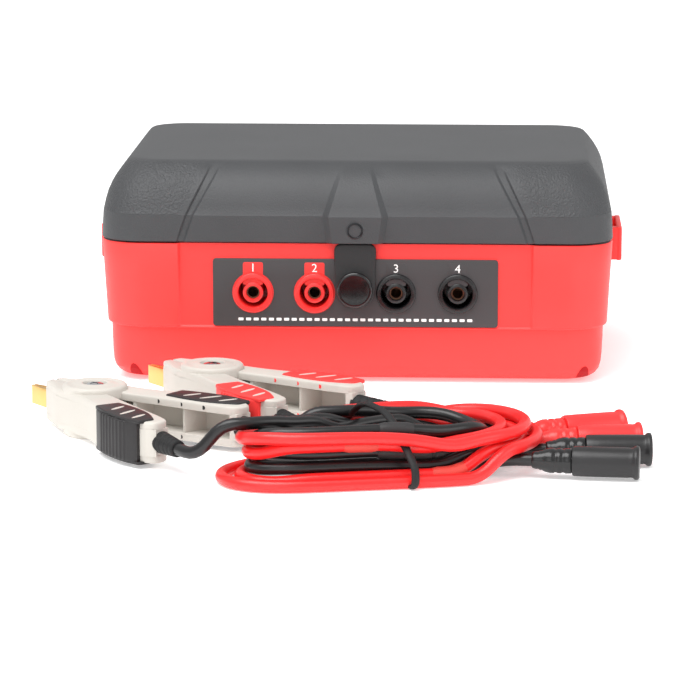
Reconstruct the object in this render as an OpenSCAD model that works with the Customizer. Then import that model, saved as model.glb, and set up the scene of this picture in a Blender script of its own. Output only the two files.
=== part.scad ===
// Portable four-terminal tester in a hinged case, with a tied set of four test leads and two
// two-pole clips lying in front of it. Millimetres, +Z up, front towards -Y, standing on its feet.

/* [Case] */
// Width of the case at the parting line
case_w = 202; // [190:1:220]
// Depth of the case at the parting line
case_d = 145; // [140:1:160]
// Height of the closed case with its feet
case_h = 87; // [84:1:95]
// Height of the line where the lid meets the base
parting_z = 56.3; // [54:0.1:58]
// Height of the step round the base
step_z = 22.4; // [18:0.1:23]
// Corner radius of the case in plan
corner_r = 14; // [10:1:20]
// Thickness of the lid's wall
lid_wall = 3; // [2.5:0.5:4]

/* [Terminals] */
// Distance from the middle to the inner pair of sockets
inner_x = 16; // [15:0.5:18]
// Distance from the middle to the outer pair of sockets
outer_x = 40.2; // [38:0.1:44]
// Height of the socket axes
socket_z = 36.5; // [35:0.5:38]
// Diameter of the socket's flange
flange_d = 15.6; // [15:0.1:17]
// Bore of the contact that takes a 4 mm plug
contact_bore_d = 4.1; // [4.02:0.02:4.2]
// Width of the terminal plate
plate_w = 112; // [104:1:116]

/* [Latch] */
// Width of the latch tongue
tongue_w = 16.4; // [15:0.2:18]
// Diameter of the latch button
button_d = 14; // [12:0.5:15]
// Height of the latch button's axis
button_z = 38.6; // [37:0.2:40]

/* [Panel] */
// Width of the display opening
display_w = 84; // [70:1:100]
// Height of the display opening
display_h = 44; // [36:1:50]
// Diameter of the test button
test_d = 18; // [14:1:20]

/* [Clips and leads] */
// Diameter of a lead
cord_d = 4.5; // [4:0.1:5]
// Diameter of a clip's hub
hub_d = 24; // [22:1:26]
// Length of a clip's handle from the hub's axis
handle_len = 62; // [58:1:66]
// Length of a clip's jaw from the hub's axis
jaw_len = 37; // [34:1:40]
// Diameter of a plug's cap
cap_d = 10.6; // [10:0.2:11]

/* [Hidden] */

$fn = 48;
gap = 0.3;

// Case
hw = case_w / 2;
hd = case_d / 2;
seam = 0.3;
floor_z = 1;
front_y = -hd + 1.9;
plate_y = front_y - 0.8;
plate_z = 23.1;
plate_h = 26.9;
relief_w = 140;
tongue_y = -hd - 1.1;
hinge_y = hd + 2;
hinge_r = 3;
hinge_pin_r = 1.5;
hinge_xs = [-58, 58];
lug_z = 41;
lug_h = 13.8;
rim_z = parting_z - seam;
socket_xs = [-outer_x, -inner_x, inner_x, outer_x];
barrel_d = 13.6;
lug_x = hw + 5;
lug_span = 32;
boss_xy = [[-86, -54], [86, -54], [-86, 54], [86, 54], [-89, 0], [89, 0]];
foot_xy = [[-80, -52], [80, -52], [-80, 52], [80, 52]];

// Inner panel and what sits under it
panel_z = 50.5;
panel_t = 2.5;
display_y = 20;
key_y = -32;
key_xs = [-66, -39, -12, 15];
key_w = 18;
key_d = 11;
test_x = 62;
board_z = 38;
board_t = 1.6;
tray_y = 12;
cell_d = 26;
cell_len = 50;
door_w = 149.4;
door_d = 51.4;

// Clips: the pivot stands up along Z, jaws point along +X and handles along -X before placing
hub_h = 19;
hub_mid = hub_h / 2;
plate_in = 4;
inner_low = plate_in + gap;
inner_high = hub_h - plate_in - gap;
red_clip_at = [-52, -126];
black_clip_at = [-92, -166];
clip_turn = 135;
boot_len = 12;

// Leads
tube_sides = 8;
hank_low = 1;
hank_h = 15;
left_end = [-28, -243];
left_r = 15;
right_end = [36, -212];
right_r = 36;
tie_at = 46;
joint_at = 56;
// Plugs: each face's place in plan and the way it points
plug_at = [[102, -172, 22], [108, -194, 8], [111, -212, 3], [106, -234, -5]];
plug_z = 6.2;
// Routes of the leads from the boots into the hank: red moving, red fixed, black moving, black fixed
tube_points = [
    [[-15.7, -192.9, 9.5], [-13.6, -196, 9.4], [-10.4, -199, 9], [-6.4, -201.2, 8.6], [-2.5, -202.5, 8.2]],
    [[14.6, -162.2, 9.5], [18, -164.3, 9.4], [22.5, -167.6, 9], [26.5, -171.8, 8.5], [30, -178.5, 8]],
    [[-55.7, -232.9, 9.5], [-53.4, -236.5, 9.4], [-50, -240.2, 9], [-46, -243, 8.5], [-41.5, -244.5, 8]],
    [[-25.2, -202.3, 9.5], [-22, -204.3, 9.4], [-19, -207.2, 9], [-16.9, -210.8, 8.6], [-15.6, -215, 8.2]]
];

// ---- shapes that repeat ----

// Outline of a rounded rectangle centred on the origin, from its half sizes
function outline(hx, hy, r, n = 6) = [
    for (c = [0:3])
        for (k = [0:n])
            let (a = 90 * c + 90 * k / n, sx = (c == 0 || c == 3) ? 1 : -1, sy = c < 2 ? 1 : -1)
                [sx * (hx - r) + r * cos(a), sy * (hy - r) + r * sin(a)]
];

// Closed solid through rounded rectangles, each given as [half width, half depth, radius, height]
module loft(rings, n = 6) {
    m = 4 * (n + 1);
    last = len(rings) - 1;
    points = [for (g = rings) for (p = outline(g[0], g[1], g[2], n)) [p[0], p[1], g[3]]];
    sides = [
        for (j = [0:last - 1])
            for (i = [0:m - 1])
                let (k = (i + 1) % m)
                    [j * m + i, (j + 1) * m + i, (j + 1) * m + k, j * m + k]
    ];
    bottom = [[for (i = [0:m - 1]) i]];
    top = [[for (i = [m - 1:-1:0]) last * m + i]];
    polyhedron(points, concat(bottom, sides, top));
}

// Plate with round corners, made of exact discs and bars
module rounded_plate(w, d, r, t) {
    linear_extrude(t) {
        square([w - 2 * r, d], center = true);
        square([w, d - 2 * r], center = true);
        for (sx = [-1, 1], sy = [-1, 1])
            translate([sx * (w / 2 - r), sy * (d / 2 - r)]) circle(r);
    }
}

// Box from its lowest to its highest corner
module span(a, b) {
    translate(a) cube(b - a);
}

// Cylinder that starts at a point and runs back along +Y
module along_y(x, y, z, r, len) {
    translate([x, y, z]) rotate([-90, 0, 0]) cylinder(r = r, h = len);
}

// Cylinder that runs along +X
module along_x(x, y, z, r, len) {
    translate([x, y, z]) rotate([0, 90, 0]) cylinder(r = r, h = len);
}

// ---- case ----

base_outer = [
    [92.5, hd - 8.5, 10, floor_z],
    [hw - 5.5, hd - 5.5, 11, 3],
    [hw - 3.8, hd - 3.3, 12, 7],
    [hw - 3.3, hd - 2.7, 12.5, step_z],
    [hw - 1.9, hd - 1.5, 13, step_z + 0.8],
    [hw, hd, corner_r, rim_z]
];
base_inner = [
    [89, hd - 11.5, 9, floor_z + 3],
    [hw - 6.5, hd - 6.5, 10, 8],
    [hw - 6.3, hd - 6.1, 10.5, step_z],
    [hw - 5.2, hd - 5.7, 11, step_z + 1.6],
    [hw - 3.4, hd - 5.3, 11.5, rim_z + 1]
];

module lug_posts() {
    for (s = [-1, 1])
        mirror([s < 0 ? 1 : 0, 0, 0])
            for (t = [-1, 1])
                translate([hw - 2.8, t * (lug_span / 2 - 2) - 2, lug_z]) cube([lug_x - hw + 2.8, 4, lug_h]);
}

module base_shell() {
    color("#e8413c")
    difference() {
        union() {
            difference() {
                loft(base_outer);
                loft(base_inner);
            }
            for (p = boss_xy)
                translate([p[0], p[1], 3.5]) cylinder(d = 8, h = panel_z - 3.5);
            for (x = hinge_xs, s = [-1, 1])
                translate([x + s * 10, 0, 0]) {
                    along_x(-4, hinge_y, parting_z, hinge_r, 8);
                    span([-4, hd - 3, parting_z - 6.5], [4, hinge_y + 1, parting_z]);
                }
        }
        // The middle of the front stands back from the corner guards
        span([-relief_w / 2, -hd - 8, step_z + 0.2], [relief_w / 2, front_y, parting_z + 1]);
        span([-plate_w / 2 - 0.2, -hd - 8, plate_z - 0.1],
             [plate_w / 2 + 0.2, front_y + 1.2, plate_z + plate_h + 0.1]);
        for (x = socket_xs)
            along_y(x, -hd - 5, socket_z, barrel_d / 2, 20);
        along_y(0, -hd - 5, button_z, 3.5, 9.5);
        // Groove for the seal
        translate([0, 0, rim_z - 1]) difference() {
            rounded_plate(2 * hw - 2, 139.6, corner_r - 2, 3);
            translate([0, 0, -1]) rounded_plate(2 * hw - 4.8, 136.8, corner_r - 3.4, 5);
        }
        for (x = hinge_xs) {
            along_x(x - 6, hinge_y, parting_z, hinge_r + 0.4, 12);
            along_x(x - 15, hinge_y, parting_z, hinge_pin_r + 0.05, 30);
        }
        lug_posts();
        for (p = foot_xy)
            translate([p[0], p[1], 0]) cylinder(d = 8.2, h = 2.2);
        for (p = boss_xy)
            translate([p[0], p[1], panel_z - 12]) cylinder(r = 1.3, h = 20);
        span([-door_w / 2 - gap, tray_y - door_d / 2 - gap, 0],
             [door_w / 2 + gap, tray_y + door_d / 2 + gap, 10]);
    }
}

lid_outer = [
    [hw + 0.1, hd + 0.1, corner_r, parting_z + seam],
    [hw - 0.5, hd - 0.4, corner_r, 68],
    [hw - 2.8, hd - 3, corner_r, 76],
    [hw - 5.8, hd - 7.5, 13, 82],
    [hw - 8.4, hd - 12, 12, 85.5],
    [hw - 10.6, hd - 16, 11, case_h]
];
lid_inner = [
    [hw + 0.1 - lid_wall, hd + 0.1 - lid_wall, 12, parting_z],
    [hw - 0.5 - lid_wall, hd - 0.4 - lid_wall, 12, 68],
    [hw - 6, hd - 6.4, 12, 76],
    [hw - 9.2, hd - 11.5, 11, 81],
    [hw - 12, hd - 16, 10, case_h - lid_wall]
];

module lid_shell() {
    color("#4b4c4e")
    difference() {
        union() {
            difference() {
                loft(lid_outer);
                loft(lid_inner);
            }
            span([-10.6, -hd - 2.5, parting_z + seam], [10.6, -hd + 2, 67.3]);
            for (x = hinge_xs) {
                along_x(x - 5.6, hinge_y, parting_z, hinge_r, 11.2);
                span([x - 5.6, hd - 2.2, parting_z + seam], [x + 5.6, hinge_y + 1, parting_z + 7]);
            }
        }
        // Slot and hole for the latch tongue and its rivet
        span([-tongue_w / 2 - 0.1, -hd - 0.9, parting_z], [tongue_w / 2 + 0.1, -hd + 1.3, 64.2]);
        along_y(0, -hd - 5, 61.8, 2, 12);
        along_y(0, -hd - 5, 61.8, 3.2, 3.8);
        for (x = hinge_xs) {
            along_x(x - 15, hinge_y, parting_z, hinge_pin_r + 0.05, 30);
            for (s = [-1, 1])
                along_x(x + s * 10 - 4.4, hinge_y, parting_z, hinge_r + 0.4, 8.8);
        }
    }
}

module lid_gasket() {
    color("#202020")
    translate([0, 0, rim_z - 1]) difference() {
        rounded_plate(2 * hw - 2, 139.6, corner_r - 2, 1.4);
        translate([0, 0, -1]) rounded_plate(2 * hw - 4.8, 136.8, corner_r - 3.4, 4);
    }
}

module hinge_pins() {
    color("#b8babd")
    for (x = hinge_xs)
        along_x(x - 14, hinge_y, parting_z, hinge_pin_r, 28);
}

// ---- latch ----

module latch_tongue() {
    color("#2a2a2b")
    difference() {
        union() {
            span([-tongue_w / 2, -hd - 0.9, 51], [tongue_w / 2, -hd + 1.3, 64]);
            span([-tongue_w / 2, tongue_y, button_z], [tongue_w / 2, tongue_y + 1.8, parting_z]);
            along_y(0, tongue_y, button_z, tongue_w / 2, 1.8);
        }
        along_y(0, -hd - 5, button_z, 2.8, 12);
        along_y(0, -hd - 5, 61.8, 2, 12);
    }
}

module latch_button() {
    color("#1c1c1d")
    translate([0, -hd - 5, button_z]) rotate([-90, 0, 0]) rotate_extrude()
        polygon([
            [0, 0], [button_d / 2, 0], [button_d / 2, 2.3], [button_d / 2 - 1.4, 2.3],
            [button_d / 2 - 1.4, 1.2], [2.5, 1.2], [2.5, 5.5], [0, 5.5]
        ]);
}

module latch_rivet() {
    color("#3a3b3d")
    translate([0, -hd - 2.8, 61.8]) rotate([-90, 0, 0]) rotate_extrude()
        polygon([[0, 1.1], [2.45, 1.1], [2.45, 0], [3.2, 0], [3.2, 1.6], [2, 1.6], [2, 5.5], [0, 5.5]]);
}

module strap_lugs() {
    color("#e8413c") {
        lug_posts();
        for (s = [-1, 1])
            mirror([s < 0 ? 1 : 0, 0, 0])
                translate([lug_x - 2.4, -lug_span / 2, lug_z]) cube([2.4, lug_span, lug_h]);
    }
}

// ---- terminals ----

module terminal_plate() {
    color("#3c3a3b")
    difference() {
        translate([0, plate_y + 1.9, plate_z + plate_h / 2]) rotate([90, 0, 0])
            rounded_plate(plate_w, plate_h, 1.2, 1.9);
        for (x = socket_xs)
            along_y(x, -hd - 5, socket_z, barrel_d / 2, 10);
        along_y(0, -hd - 5, button_z, 3.5, 10);
    }
}

// Shrouded insulator: flange, barrel, ring groove for the plug's shroud, hole for the contact
module socket_body(x) {
    translate([x, plate_y, socket_z]) rotate([-90, 0, 0]) rotate_extrude()
        polygon([
            [2.6, -0.4], [4, -0.4], [4, 17.5], [5.8, 17.5], [5.8, -1.2], [flange_d / 2, -1.2],
            [flange_d / 2, 0], [barrel_d / 2, 0], [barrel_d / 2, 21], [2.6, 21]
        ]);
}

module red_sockets() {
    color("#d8322e")
    for (x = [-outer_x, -inner_x])
        socket_body(x);
}

module black_sockets() {
    color("#1b1b1b")
    for (x = [inner_x, outer_x])
        socket_body(x);
}

module socket_contacts() {
    color("#d9b36a")
    for (x = socket_xs)
        difference() {
            union() {
                along_y(x, plate_y + 1.4, socket_z, 2.6, 22);
                along_y(x, plate_y + 23.4, socket_z, 1.2, 6);
            }
            along_y(x, plate_y + 1, socket_z, contact_bore_d / 2, 18.4);
        }
}

module socket_nuts() {
    color("#c9cacc")
    for (x = socket_xs)
        translate([x, plate_y + 4.9, socket_z]) rotate([-90, 0, 0]) difference() {
            rotate([0, 0, 30]) cylinder(d = 20, h = 3, $fn = 6);
            translate([0, 0, -1]) cylinder(d = barrel_d, h = 5);
        }
}

// ---- inner panel, keys and display ----

module key_hole(x, w, d, r) {
    translate([x, key_y, panel_z - 1]) rounded_plate(w, d, r, panel_t + 2);
}

module front_panel() {
    color("#2f3033")
    difference() {
        translate([0, 0, panel_z]) rounded_plate(2 * hw - 8.4, case_d - 11.6, 10.5, panel_t);
        translate([0, display_y, panel_z - 1]) rounded_plate(display_w, display_h, 3, panel_t + 2);
        for (x = key_xs)
            key_hole(x, key_w + 0.8, key_d + 0.8, 3.4);
        translate([test_x, key_y, panel_z - 1]) cylinder(d = test_d + 0.8, h = panel_t + 2);
        for (p = boss_xy)
            translate([p[0], p[1], panel_z - 1]) cylinder(d = 3.4, h = panel_t + 2);
    }
}

module display_window() {
    color("#8fa0a6")
    translate([0, display_y, panel_z + 0.6])
        rounded_plate(display_w - 0.4, display_h - 0.4, 2.8, 1.6);
}

module display_module() {
    color("#9fae98")
    translate([0, display_y, panel_z - 6.6]) rounded_plate(92, 52, 2, 6.2);
}

module key_cap(x) {
    translate([x, key_y, panel_z - 2]) {
        rounded_plate(key_w, key_d, 3, 6.2);
        rounded_plate(key_w + 3, key_d + 3, 4, 1.4);
    }
}

module power_key() {
    color("#c8362f") key_cap(key_xs[0]);
}

module range_key() {
    color("#8b8d90") key_cap(key_xs[1]);
}

module hold_key() {
    color("#8b8d90") key_cap(key_xs[2]);
}

module light_key() {
    color("#8b8d90") key_cap(key_xs[3]);
}

module test_button() {
    color("#d8322e")
    translate([test_x, key_y, panel_z - 2]) {
        cylinder(d = test_d, h = 6.6);
        cylinder(d = test_d + 3, h = 1.4);
    }
}

// ---- inside the base ----

module main_board() {
    color("#2c6b3f") {
        translate([0, 10, board_z]) rounded_plate(150, 86, 2, board_t);
        for (x = concat(key_xs, [test_x]))
            translate([x - 3, key_y + 6, board_z + 1]) cube([6, 4, 5.5]);
        span([-60, 38, board_z + 1], [-30, 50, board_z + 5]);
    }
}

module buzzer() {
    color("#151515")
    translate([62, 40, board_z + board_t]) difference() {
        cylinder(d = 14, h = 7.5);
        translate([0, 0, 6]) cylinder(d = 2.2, h = 3);
    }
}

module power_module() {
    color("#3d3e41")
    span([52, 0, board_z + board_t], [72, 24, board_z + board_t + 9]);
}

module battery_tray() {
    color("#303134")
    difference() {
        union() {
            span([-79, tray_y - 29, 4], [79, tray_y + 29, 33.5]);
            for (sx = [-1, 1], sy = [-1, 1])
                translate([sx * 68, 10 + sy * 24, 30]) cylinder(d = 6, h = board_z - 30);
        }
        span([-77, tray_y - 27.3, 3], [77, tray_y + 27.3, 32]);
    }
}

module battery_cells() {
    color("#7a7d82")
    for (i = [-1:1], s = [-1, 1])
        translate([i * (cell_len + 1) - cell_len / 2, tray_y + s * 13.5, 18.5]) rotate([0, 90, 0]) {
            cylinder(d = cell_d, h = cell_len - 1.5);
            cylinder(d = 6, h = cell_len);
        }
}

module battery_door() {
    color("#3a3b3d")
    difference() {
        translate([0, tray_y, floor_z]) rounded_plate(door_w, door_d, 2, 2.7);
        for (s = [-1, 1])
            translate([s * 68, tray_y, 0]) cylinder(d = 3, h = 6);
    }
}

module case_screws() {
    color("#b9bbbe") {
        for (p = boss_xy)
            translate([p[0], p[1], panel_z + panel_t]) difference() {
                union() {
                    cylinder(d = 5.6, h = 1.6);
                    translate([0, 0, -13]) cylinder(r = 1.25, h = 14);
                }
                for (a = [0, 90])
                    rotate(a) translate([-1.6, -0.35, 0.7]) cube([3.2, 0.7, 2]);
            }
        for (s = [-1, 1])
            translate([s * 68, tray_y, floor_z + 0.2]) cylinder(d = 2.8, h = 2.4);
    }
}

module feet() {
    color("#252525")
    for (p = foot_xy)
        translate([p[0], p[1], 0]) cylinder(d = 8, h = 2.1);
}

// ---- clips ----

// Puts a clip that was drawn about its pivot where it lies
module place_clip(at) {
    translate([at[0], at[1], 0]) rotate(clip_turn) children();
}

// Handle and nose of one half; side is -1 for the fixed half and 1 for the moving half
module clip_half_outline(side) {
    polygon([
        for (p = [
            [24, 0.35], [24, 4.2], [16, 7.5], [9, 11], [-4, 12.5], [-14, 14.6], [-24, 18.4],
            [-36, 22.6], [-48, 25], [-57, 24.6], [-handle_len, 22], [-handle_len + 1, 15.5],
            [-52, 12.6], [-38, 9.4], [-24, 6], [-12.6, 3], [12.4, 0.35]
        ]) [p[0], side * p[1]]
    ]);
}

module clip_channel_outline(side) {
    polygon([
        for (p = [[-18, 0], [-18, 13.6], [-36, 20], [-48, 22.4], [-56, 22], [-58, 12], [-40, 5]])
            [p[0], side * p[1]]
    ]);
}

module jaw_outline(side) {
    polygon([
        for (p = [[14, 0.15], [jaw_len, 0.15], [jaw_len, 1.2], [24, 2.9], [14, 2.9]])
            [p[0], side * p[1]]
    ]);
}

module grip_outline(side) {
    polygon([
        for (p = [[-27, 19.5], [-36, 22.6], [-48, 25], [-56, 24.7], [-57, 26], [-48, 27.6],
                  [-36, 25.2], [-26, 21.2]])
            [p[0], side * p[1]]
    ]);
}

module boot_shape(side) {
    translate([-handle_len + 1, side * 18.6, hub_mid]) rotate([0, -90, side * -14])
        cylinder(r1 = 4, r2 = 2.9, h = boot_len);
}

// Solid that both boots and handles leave free for the other part
module handle_channel(side) {
    translate([0, 0, 5]) linear_extrude(hub_h - 10) clip_channel_outline(side);
}

module clip_body() {
    difference() {
        union() {
            translate([0, 0, 2]) linear_extrude(hub_h - 4) clip_half_outline(-1);
            cylinder(d = hub_d, h = hub_h);
        }
        translate([0, 0, plate_in]) cylinder(d = hub_d + 0.4, h = hub_h - 2 * plate_in);
        handle_channel(-1);
        translate([0, 0, 6]) linear_extrude(7) jaw_outline(-1);
        translate([0, 0, -1]) cylinder(r = 2.05, h = hub_h + 2);
        boot_shape(-1);
    }
}

module clip_arm() {
    difference() {
        union() {
            difference() {
                translate([0, 0, 2]) linear_extrude(hub_h - 4) clip_half_outline(1);
                translate([0, 0, -1]) cylinder(d = hub_d + 0.6, h = inner_low + 1);
                translate([0, 0, inner_high]) cylinder(d = hub_d + 0.6, h = 10);
            }
            translate([0, 0, inner_low]) cylinder(d = hub_d - 0.8, h = inner_high - inner_low);
        }
        translate([0, 0, 7]) cylinder(d = 12, h = hub_h - 14);
        handle_channel(1);
        translate([0, 0, 6]) linear_extrude(7) jaw_outline(1);
        translate([0, 0, -1]) cylinder(r = 2.05, h = hub_h + 2);
        boot_shape(1);
    }
}

module clip_jaw(side) {
    translate([0, 0, 6]) linear_extrude(7) jaw_outline(side);
}

module clip_grip(side) {
    translate([0, 0, 3.5]) linear_extrude(hub_h - 7) grip_outline(side);
}

module red_clip_body() {
    color("#cdc8c0") place_clip(red_clip_at) clip_body();
}

module red_clip_arm() {
    color("#cdc8c0") place_clip(red_clip_at) clip_arm();
}

module red_fixed_jaw() {
    color("#e0b860") place_clip(red_clip_at) clip_jaw(-1);
}

module red_moving_jaw() {
    color("#e0b860") place_clip(red_clip_at) clip_jaw(1);
}

module red_fixed_grip() {
    color("#e03c37") place_clip(red_clip_at) clip_grip(-1);
}

module red_moving_grip() {
    color("#e03c37") place_clip(red_clip_at) clip_grip(1);
}

module red_moving_boot() {
    color("#1d1d1d") place_clip(red_clip_at) boot_shape(1);
}

module black_clip_body() {
    color("#cdc8c0") place_clip(black_clip_at) clip_body();
}

module black_clip_arm() {
    color("#cdc8c0") place_clip(black_clip_at) clip_arm();
}

module black_fixed_jaw() {
    color("#e0b860") place_clip(black_clip_at) clip_jaw(-1);
}

module black_moving_jaw() {
    color("#e0b860") place_clip(black_clip_at) clip_jaw(1);
}

module black_fixed_grip() {
    color("#232323") place_clip(black_clip_at) clip_grip(-1);
}

module black_moving_grip() {
    color("#232323") place_clip(black_clip_at) clip_grip(1);
}

module black_moving_boot() {
    color("#1d1d1d") place_clip(black_clip_at) boot_shape(1);
}

module fixed_boots() {
    color("#1d1d1d")
    for (at = [red_clip_at, black_clip_at])
        place_clip(at) boot_shape(-1);
}

module pivot_screws() {
    color("#c4c6c9")
    for (at = [red_clip_at, black_clip_at])
        place_clip(at) {
            translate([0, 0, 0.4]) cylinder(r = 2, h = hub_h);
            translate([0, 0, hub_h]) difference() {
                cylinder(d = 7, h = 1.2);
                for (a = [0, 90])
                    rotate(a) translate([-2, -0.5, 0.4]) cube([4, 1, 2]);
            }
        }
}

module clip_springs() {
    color("#b9bbbe")
    for (at = [red_clip_at, black_clip_at])
        place_clip(at) translate([0, 0, 7.4]) rotate_extrude() translate([3.4, 0]) square([1.2, 4.2]);
}

// ---- leads ----

// Puts a plug that was drawn along +X, with its face at the origin, where it lies
module place_plug(p) {
    translate([p[0], p[1], plug_z]) rotate(p[2]) children();
}

module plug_body() {
    rotate([0, -90, 0]) translate([0, 0, 23.6]) {
        cylinder(r = 4.4, h = 8);
        translate([0, 0, 8]) cylinder(r1 = 4.4, r2 = 2.9, h = 6);
    }
}

module plug_cap() {
    rotate([0, -90, 0]) difference() {
        union() {
            cylinder(d = cap_d + 1.4, h = 2);
            cylinder(d = cap_d, h = 23.4);
        }
        translate([0, 0, 1.5]) cylinder(r = 2.3, h = 30);
    }
}

module red_plugs() {
    color("#d8322e")
    for (i = [0, 1])
        place_plug(plug_at[i]) plug_body();
}

module black_plugs() {
    color("#1b1b1b")
    for (i = [2, 3])
        place_plug(plug_at[i]) plug_body();
}

module red_caps() {
    color("#e03c37")
    for (i = [0, 1])
        place_plug(plug_at[i]) plug_cap();
}

module black_caps() {
    color("#1b1b1b")
    for (i = [2, 3])
        place_plug(plug_at[i]) plug_cap();
}

module plug_pins() {
    color("#c9cacc")
    for (p = plug_at)
        place_plug(p) rotate([0, -90, 0]) translate([0, 0, 4]) cylinder(r = 2, h = 19.6);
}

// Unit vector between two points in plan
function toward(a, b) = (b - a) / norm(b - a);

// Points on an arc from one angle to another
function arc(c, r, a0, a1, n = 12) = [
    for (k = [0:n]) let (a = a0 + (a1 - a0) * k / n) c + r * [cos(a), sin(a)]
];

hank_dir = toward(left_end, right_end);
hank_turn = atan2(hank_dir[1], hank_dir[0]);
hank_spread = asin((right_r - left_r) / norm(right_end - left_end));

module lead_hank() {
    color("#b4342f")
    translate([0, 0, hank_low]) linear_extrude(hank_h)
        polygon(concat(
            arc(right_end, right_r, hank_turn - 90 - hank_spread, hank_turn + 90 + hank_spread),
            arc(left_end, left_r, hank_turn + 90 + hank_spread, hank_turn + 270 - hank_spread)
        ));
}

// Puts something on the hank's long axis, this far from the middle of its left fold
module on_hank(t) {
    p = left_end + t * hank_dir;
    translate([p[0], p[1], 0]) rotate(hank_turn) children();
}

module lead_tie() {
    half = (left_r + tie_at * sin(hank_spread)) / cos(hank_spread) + 0.5;
    color("#1b1b1b")
    on_hank(tie_at) difference() {
        span([-1.5, -half - 0.9, 0], [1.5, half + 0.9, hank_low + hank_h + 1]);
        span([-3, -half, hank_low], [3, half, hank_low + hank_h]);
    }
}

module marker_sleeves() {
    color("#c03a35")
    for (x = [8, 31])
        translate([x, -254.6 + 0.15 * x, 4]) rotate([0, 90, 8.6]) cylinder(r = 3, h = 13);
}

module inline_joints() {
    color("#2b2b2c")
    for (s = [-1, 1])
        on_hank(joint_at) translate([0, s * 6, hank_low + hank_h - 2]) rotate([0, 90, 0]) {
            cylinder(r = 3.6, h = 32);
            translate([0, 0, -5]) cylinder(r1 = 2.6, r2 = 3.6, h = 5);
            translate([0, 0, 32]) cylinder(r1 = 3.6, r2 = 2.6, h = 5);
        }
}

// Round tube through a list of points, its rings square to the route
module tube(points, r) {
    n = len(points);
    dirs = [for (i = [0:n - 1]) toward(points[max(i - 1, 0)], points[min(i + 1, n - 1)])];
    rings = [
        for (i = [0:n - 1])
            let (side = toward([0, 0, 0], cross(dirs[i], [0, 0, 1])), up = cross(side, dirs[i]))
                for (k = [0:tube_sides - 1])
                    let (a = 360 * k / tube_sides) points[i] + r * (cos(a) * side + sin(a) * up)
    ];
    walls = [
        for (i = [0:n - 2])
            for (k = [0:tube_sides - 1])
                let (q = (k + 1) % tube_sides, a = i * tube_sides, b = a + tube_sides)
                    [a + k, b + k, b + q, a + q]
    ];
    first = [[for (k = [0:tube_sides - 1]) k]];
    last = [[for (k = [tube_sides - 1:-1:0]) (n - 1) * tube_sides + k]];
    polyhedron(rings, concat(first, walls, last));
}

module lead_tube(i) {
    tube(tube_points[i], cord_d / 2);
}

module lead_tube_1() {
    color("#e03c37") lead_tube(0);
}

module lead_tube_2() {
    color("#e03c37") lead_tube(1);
}

module lead_tube_3() {
    color("#1d1d1d") lead_tube(2);
}

module lead_tube_4() {
    color("#1d1d1d") lead_tube(3);
}

base_shell();
lid_shell();
lid_gasket();
hinge_pins();
latch_tongue();
latch_button();
latch_rivet();
strap_lugs();
terminal_plate();
red_sockets();
black_sockets();
socket_contacts();
socket_nuts();
front_panel();
display_window();
display_module();
test_button();
power_key();
range_key();
hold_key();
light_key();
main_board();
buzzer();
power_module();
battery_tray();
battery_cells();
battery_door();
case_screws();
feet();
red_clip_body();
red_clip_arm();
red_fixed_jaw();
red_moving_jaw();
red_fixed_grip();
red_moving_grip();
red_moving_boot();
black_clip_body();
black_clip_arm();
black_fixed_jaw();
black_moving_jaw();
black_fixed_grip();
black_moving_grip();
black_moving_boot();
fixed_boots();
pivot_screws();
clip_springs();
red_plugs();
black_plugs();
red_caps();
black_caps();
plug_pins();
lead_tie();
marker_sleeves();
inline_joints();
lead_hank();
lead_tube_1();
lead_tube_2();
lead_tube_3();
lead_tube_4();
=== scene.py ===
# Looks of the four-terminal tester and its tied lead set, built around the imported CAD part.
import math

import bmesh
import bpy
import numpy as np
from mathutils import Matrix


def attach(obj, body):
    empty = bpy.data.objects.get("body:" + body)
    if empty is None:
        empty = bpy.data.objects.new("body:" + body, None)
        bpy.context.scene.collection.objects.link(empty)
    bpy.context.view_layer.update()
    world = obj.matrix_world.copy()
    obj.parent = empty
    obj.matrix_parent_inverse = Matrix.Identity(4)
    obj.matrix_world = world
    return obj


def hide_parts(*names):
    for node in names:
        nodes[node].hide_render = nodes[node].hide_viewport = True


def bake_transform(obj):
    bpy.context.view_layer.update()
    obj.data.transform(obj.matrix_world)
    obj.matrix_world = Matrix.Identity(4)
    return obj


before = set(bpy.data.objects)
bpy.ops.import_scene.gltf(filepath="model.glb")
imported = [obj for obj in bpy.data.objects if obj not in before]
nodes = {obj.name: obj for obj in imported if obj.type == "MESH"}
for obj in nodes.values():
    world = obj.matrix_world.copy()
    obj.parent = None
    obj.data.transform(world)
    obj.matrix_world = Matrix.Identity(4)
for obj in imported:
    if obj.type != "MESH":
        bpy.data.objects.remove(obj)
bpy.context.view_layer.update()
mm = 0.001

# ---- camera ----

cameraView = {
    "target": (-2, -72.5, 14),  # point that the lens is aimed at, mm
    "distance": 1400,
    "azimuth": 2.5,
    "elevation": 11,
    "lens": 183,
    "sensor": 36,
}


def placeCamera(view):
    turn = math.radians(view["azimuth"])
    lift = math.radians(view["elevation"])
    away = np.array([math.sin(turn) * math.cos(lift), -math.cos(turn) * math.cos(lift), math.sin(lift)])
    spot = np.array(view["target"]) + view["distance"] * away
    lensData = bpy.data.cameras.new("productCamera")
    lensData.lens = view["lens"]
    lensData.sensor_width = view["sensor"]
    camera = bpy.data.objects.new("productCamera", lensData)
    camera.location = spot * mm
    camera.rotation_euler = (math.pi / 2 - lift, 0, turn)
    bpy.context.scene.collection.objects.link(camera)
    bpy.context.scene.camera = camera


placeCamera(cameraView)
print("camera placed")

# ---- finishes ----


def colourOf(red, green, blue):
    # display values of 0 to 255 turned into the linear values that shaders take
    part = np.array([red, green, blue]) / 255
    linear = np.where(part <= 0.04045, part / 12.92, ((part + 0.055) / 1.055) ** 2.4)
    return (*[float(v) for v in linear], 1.0)


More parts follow.
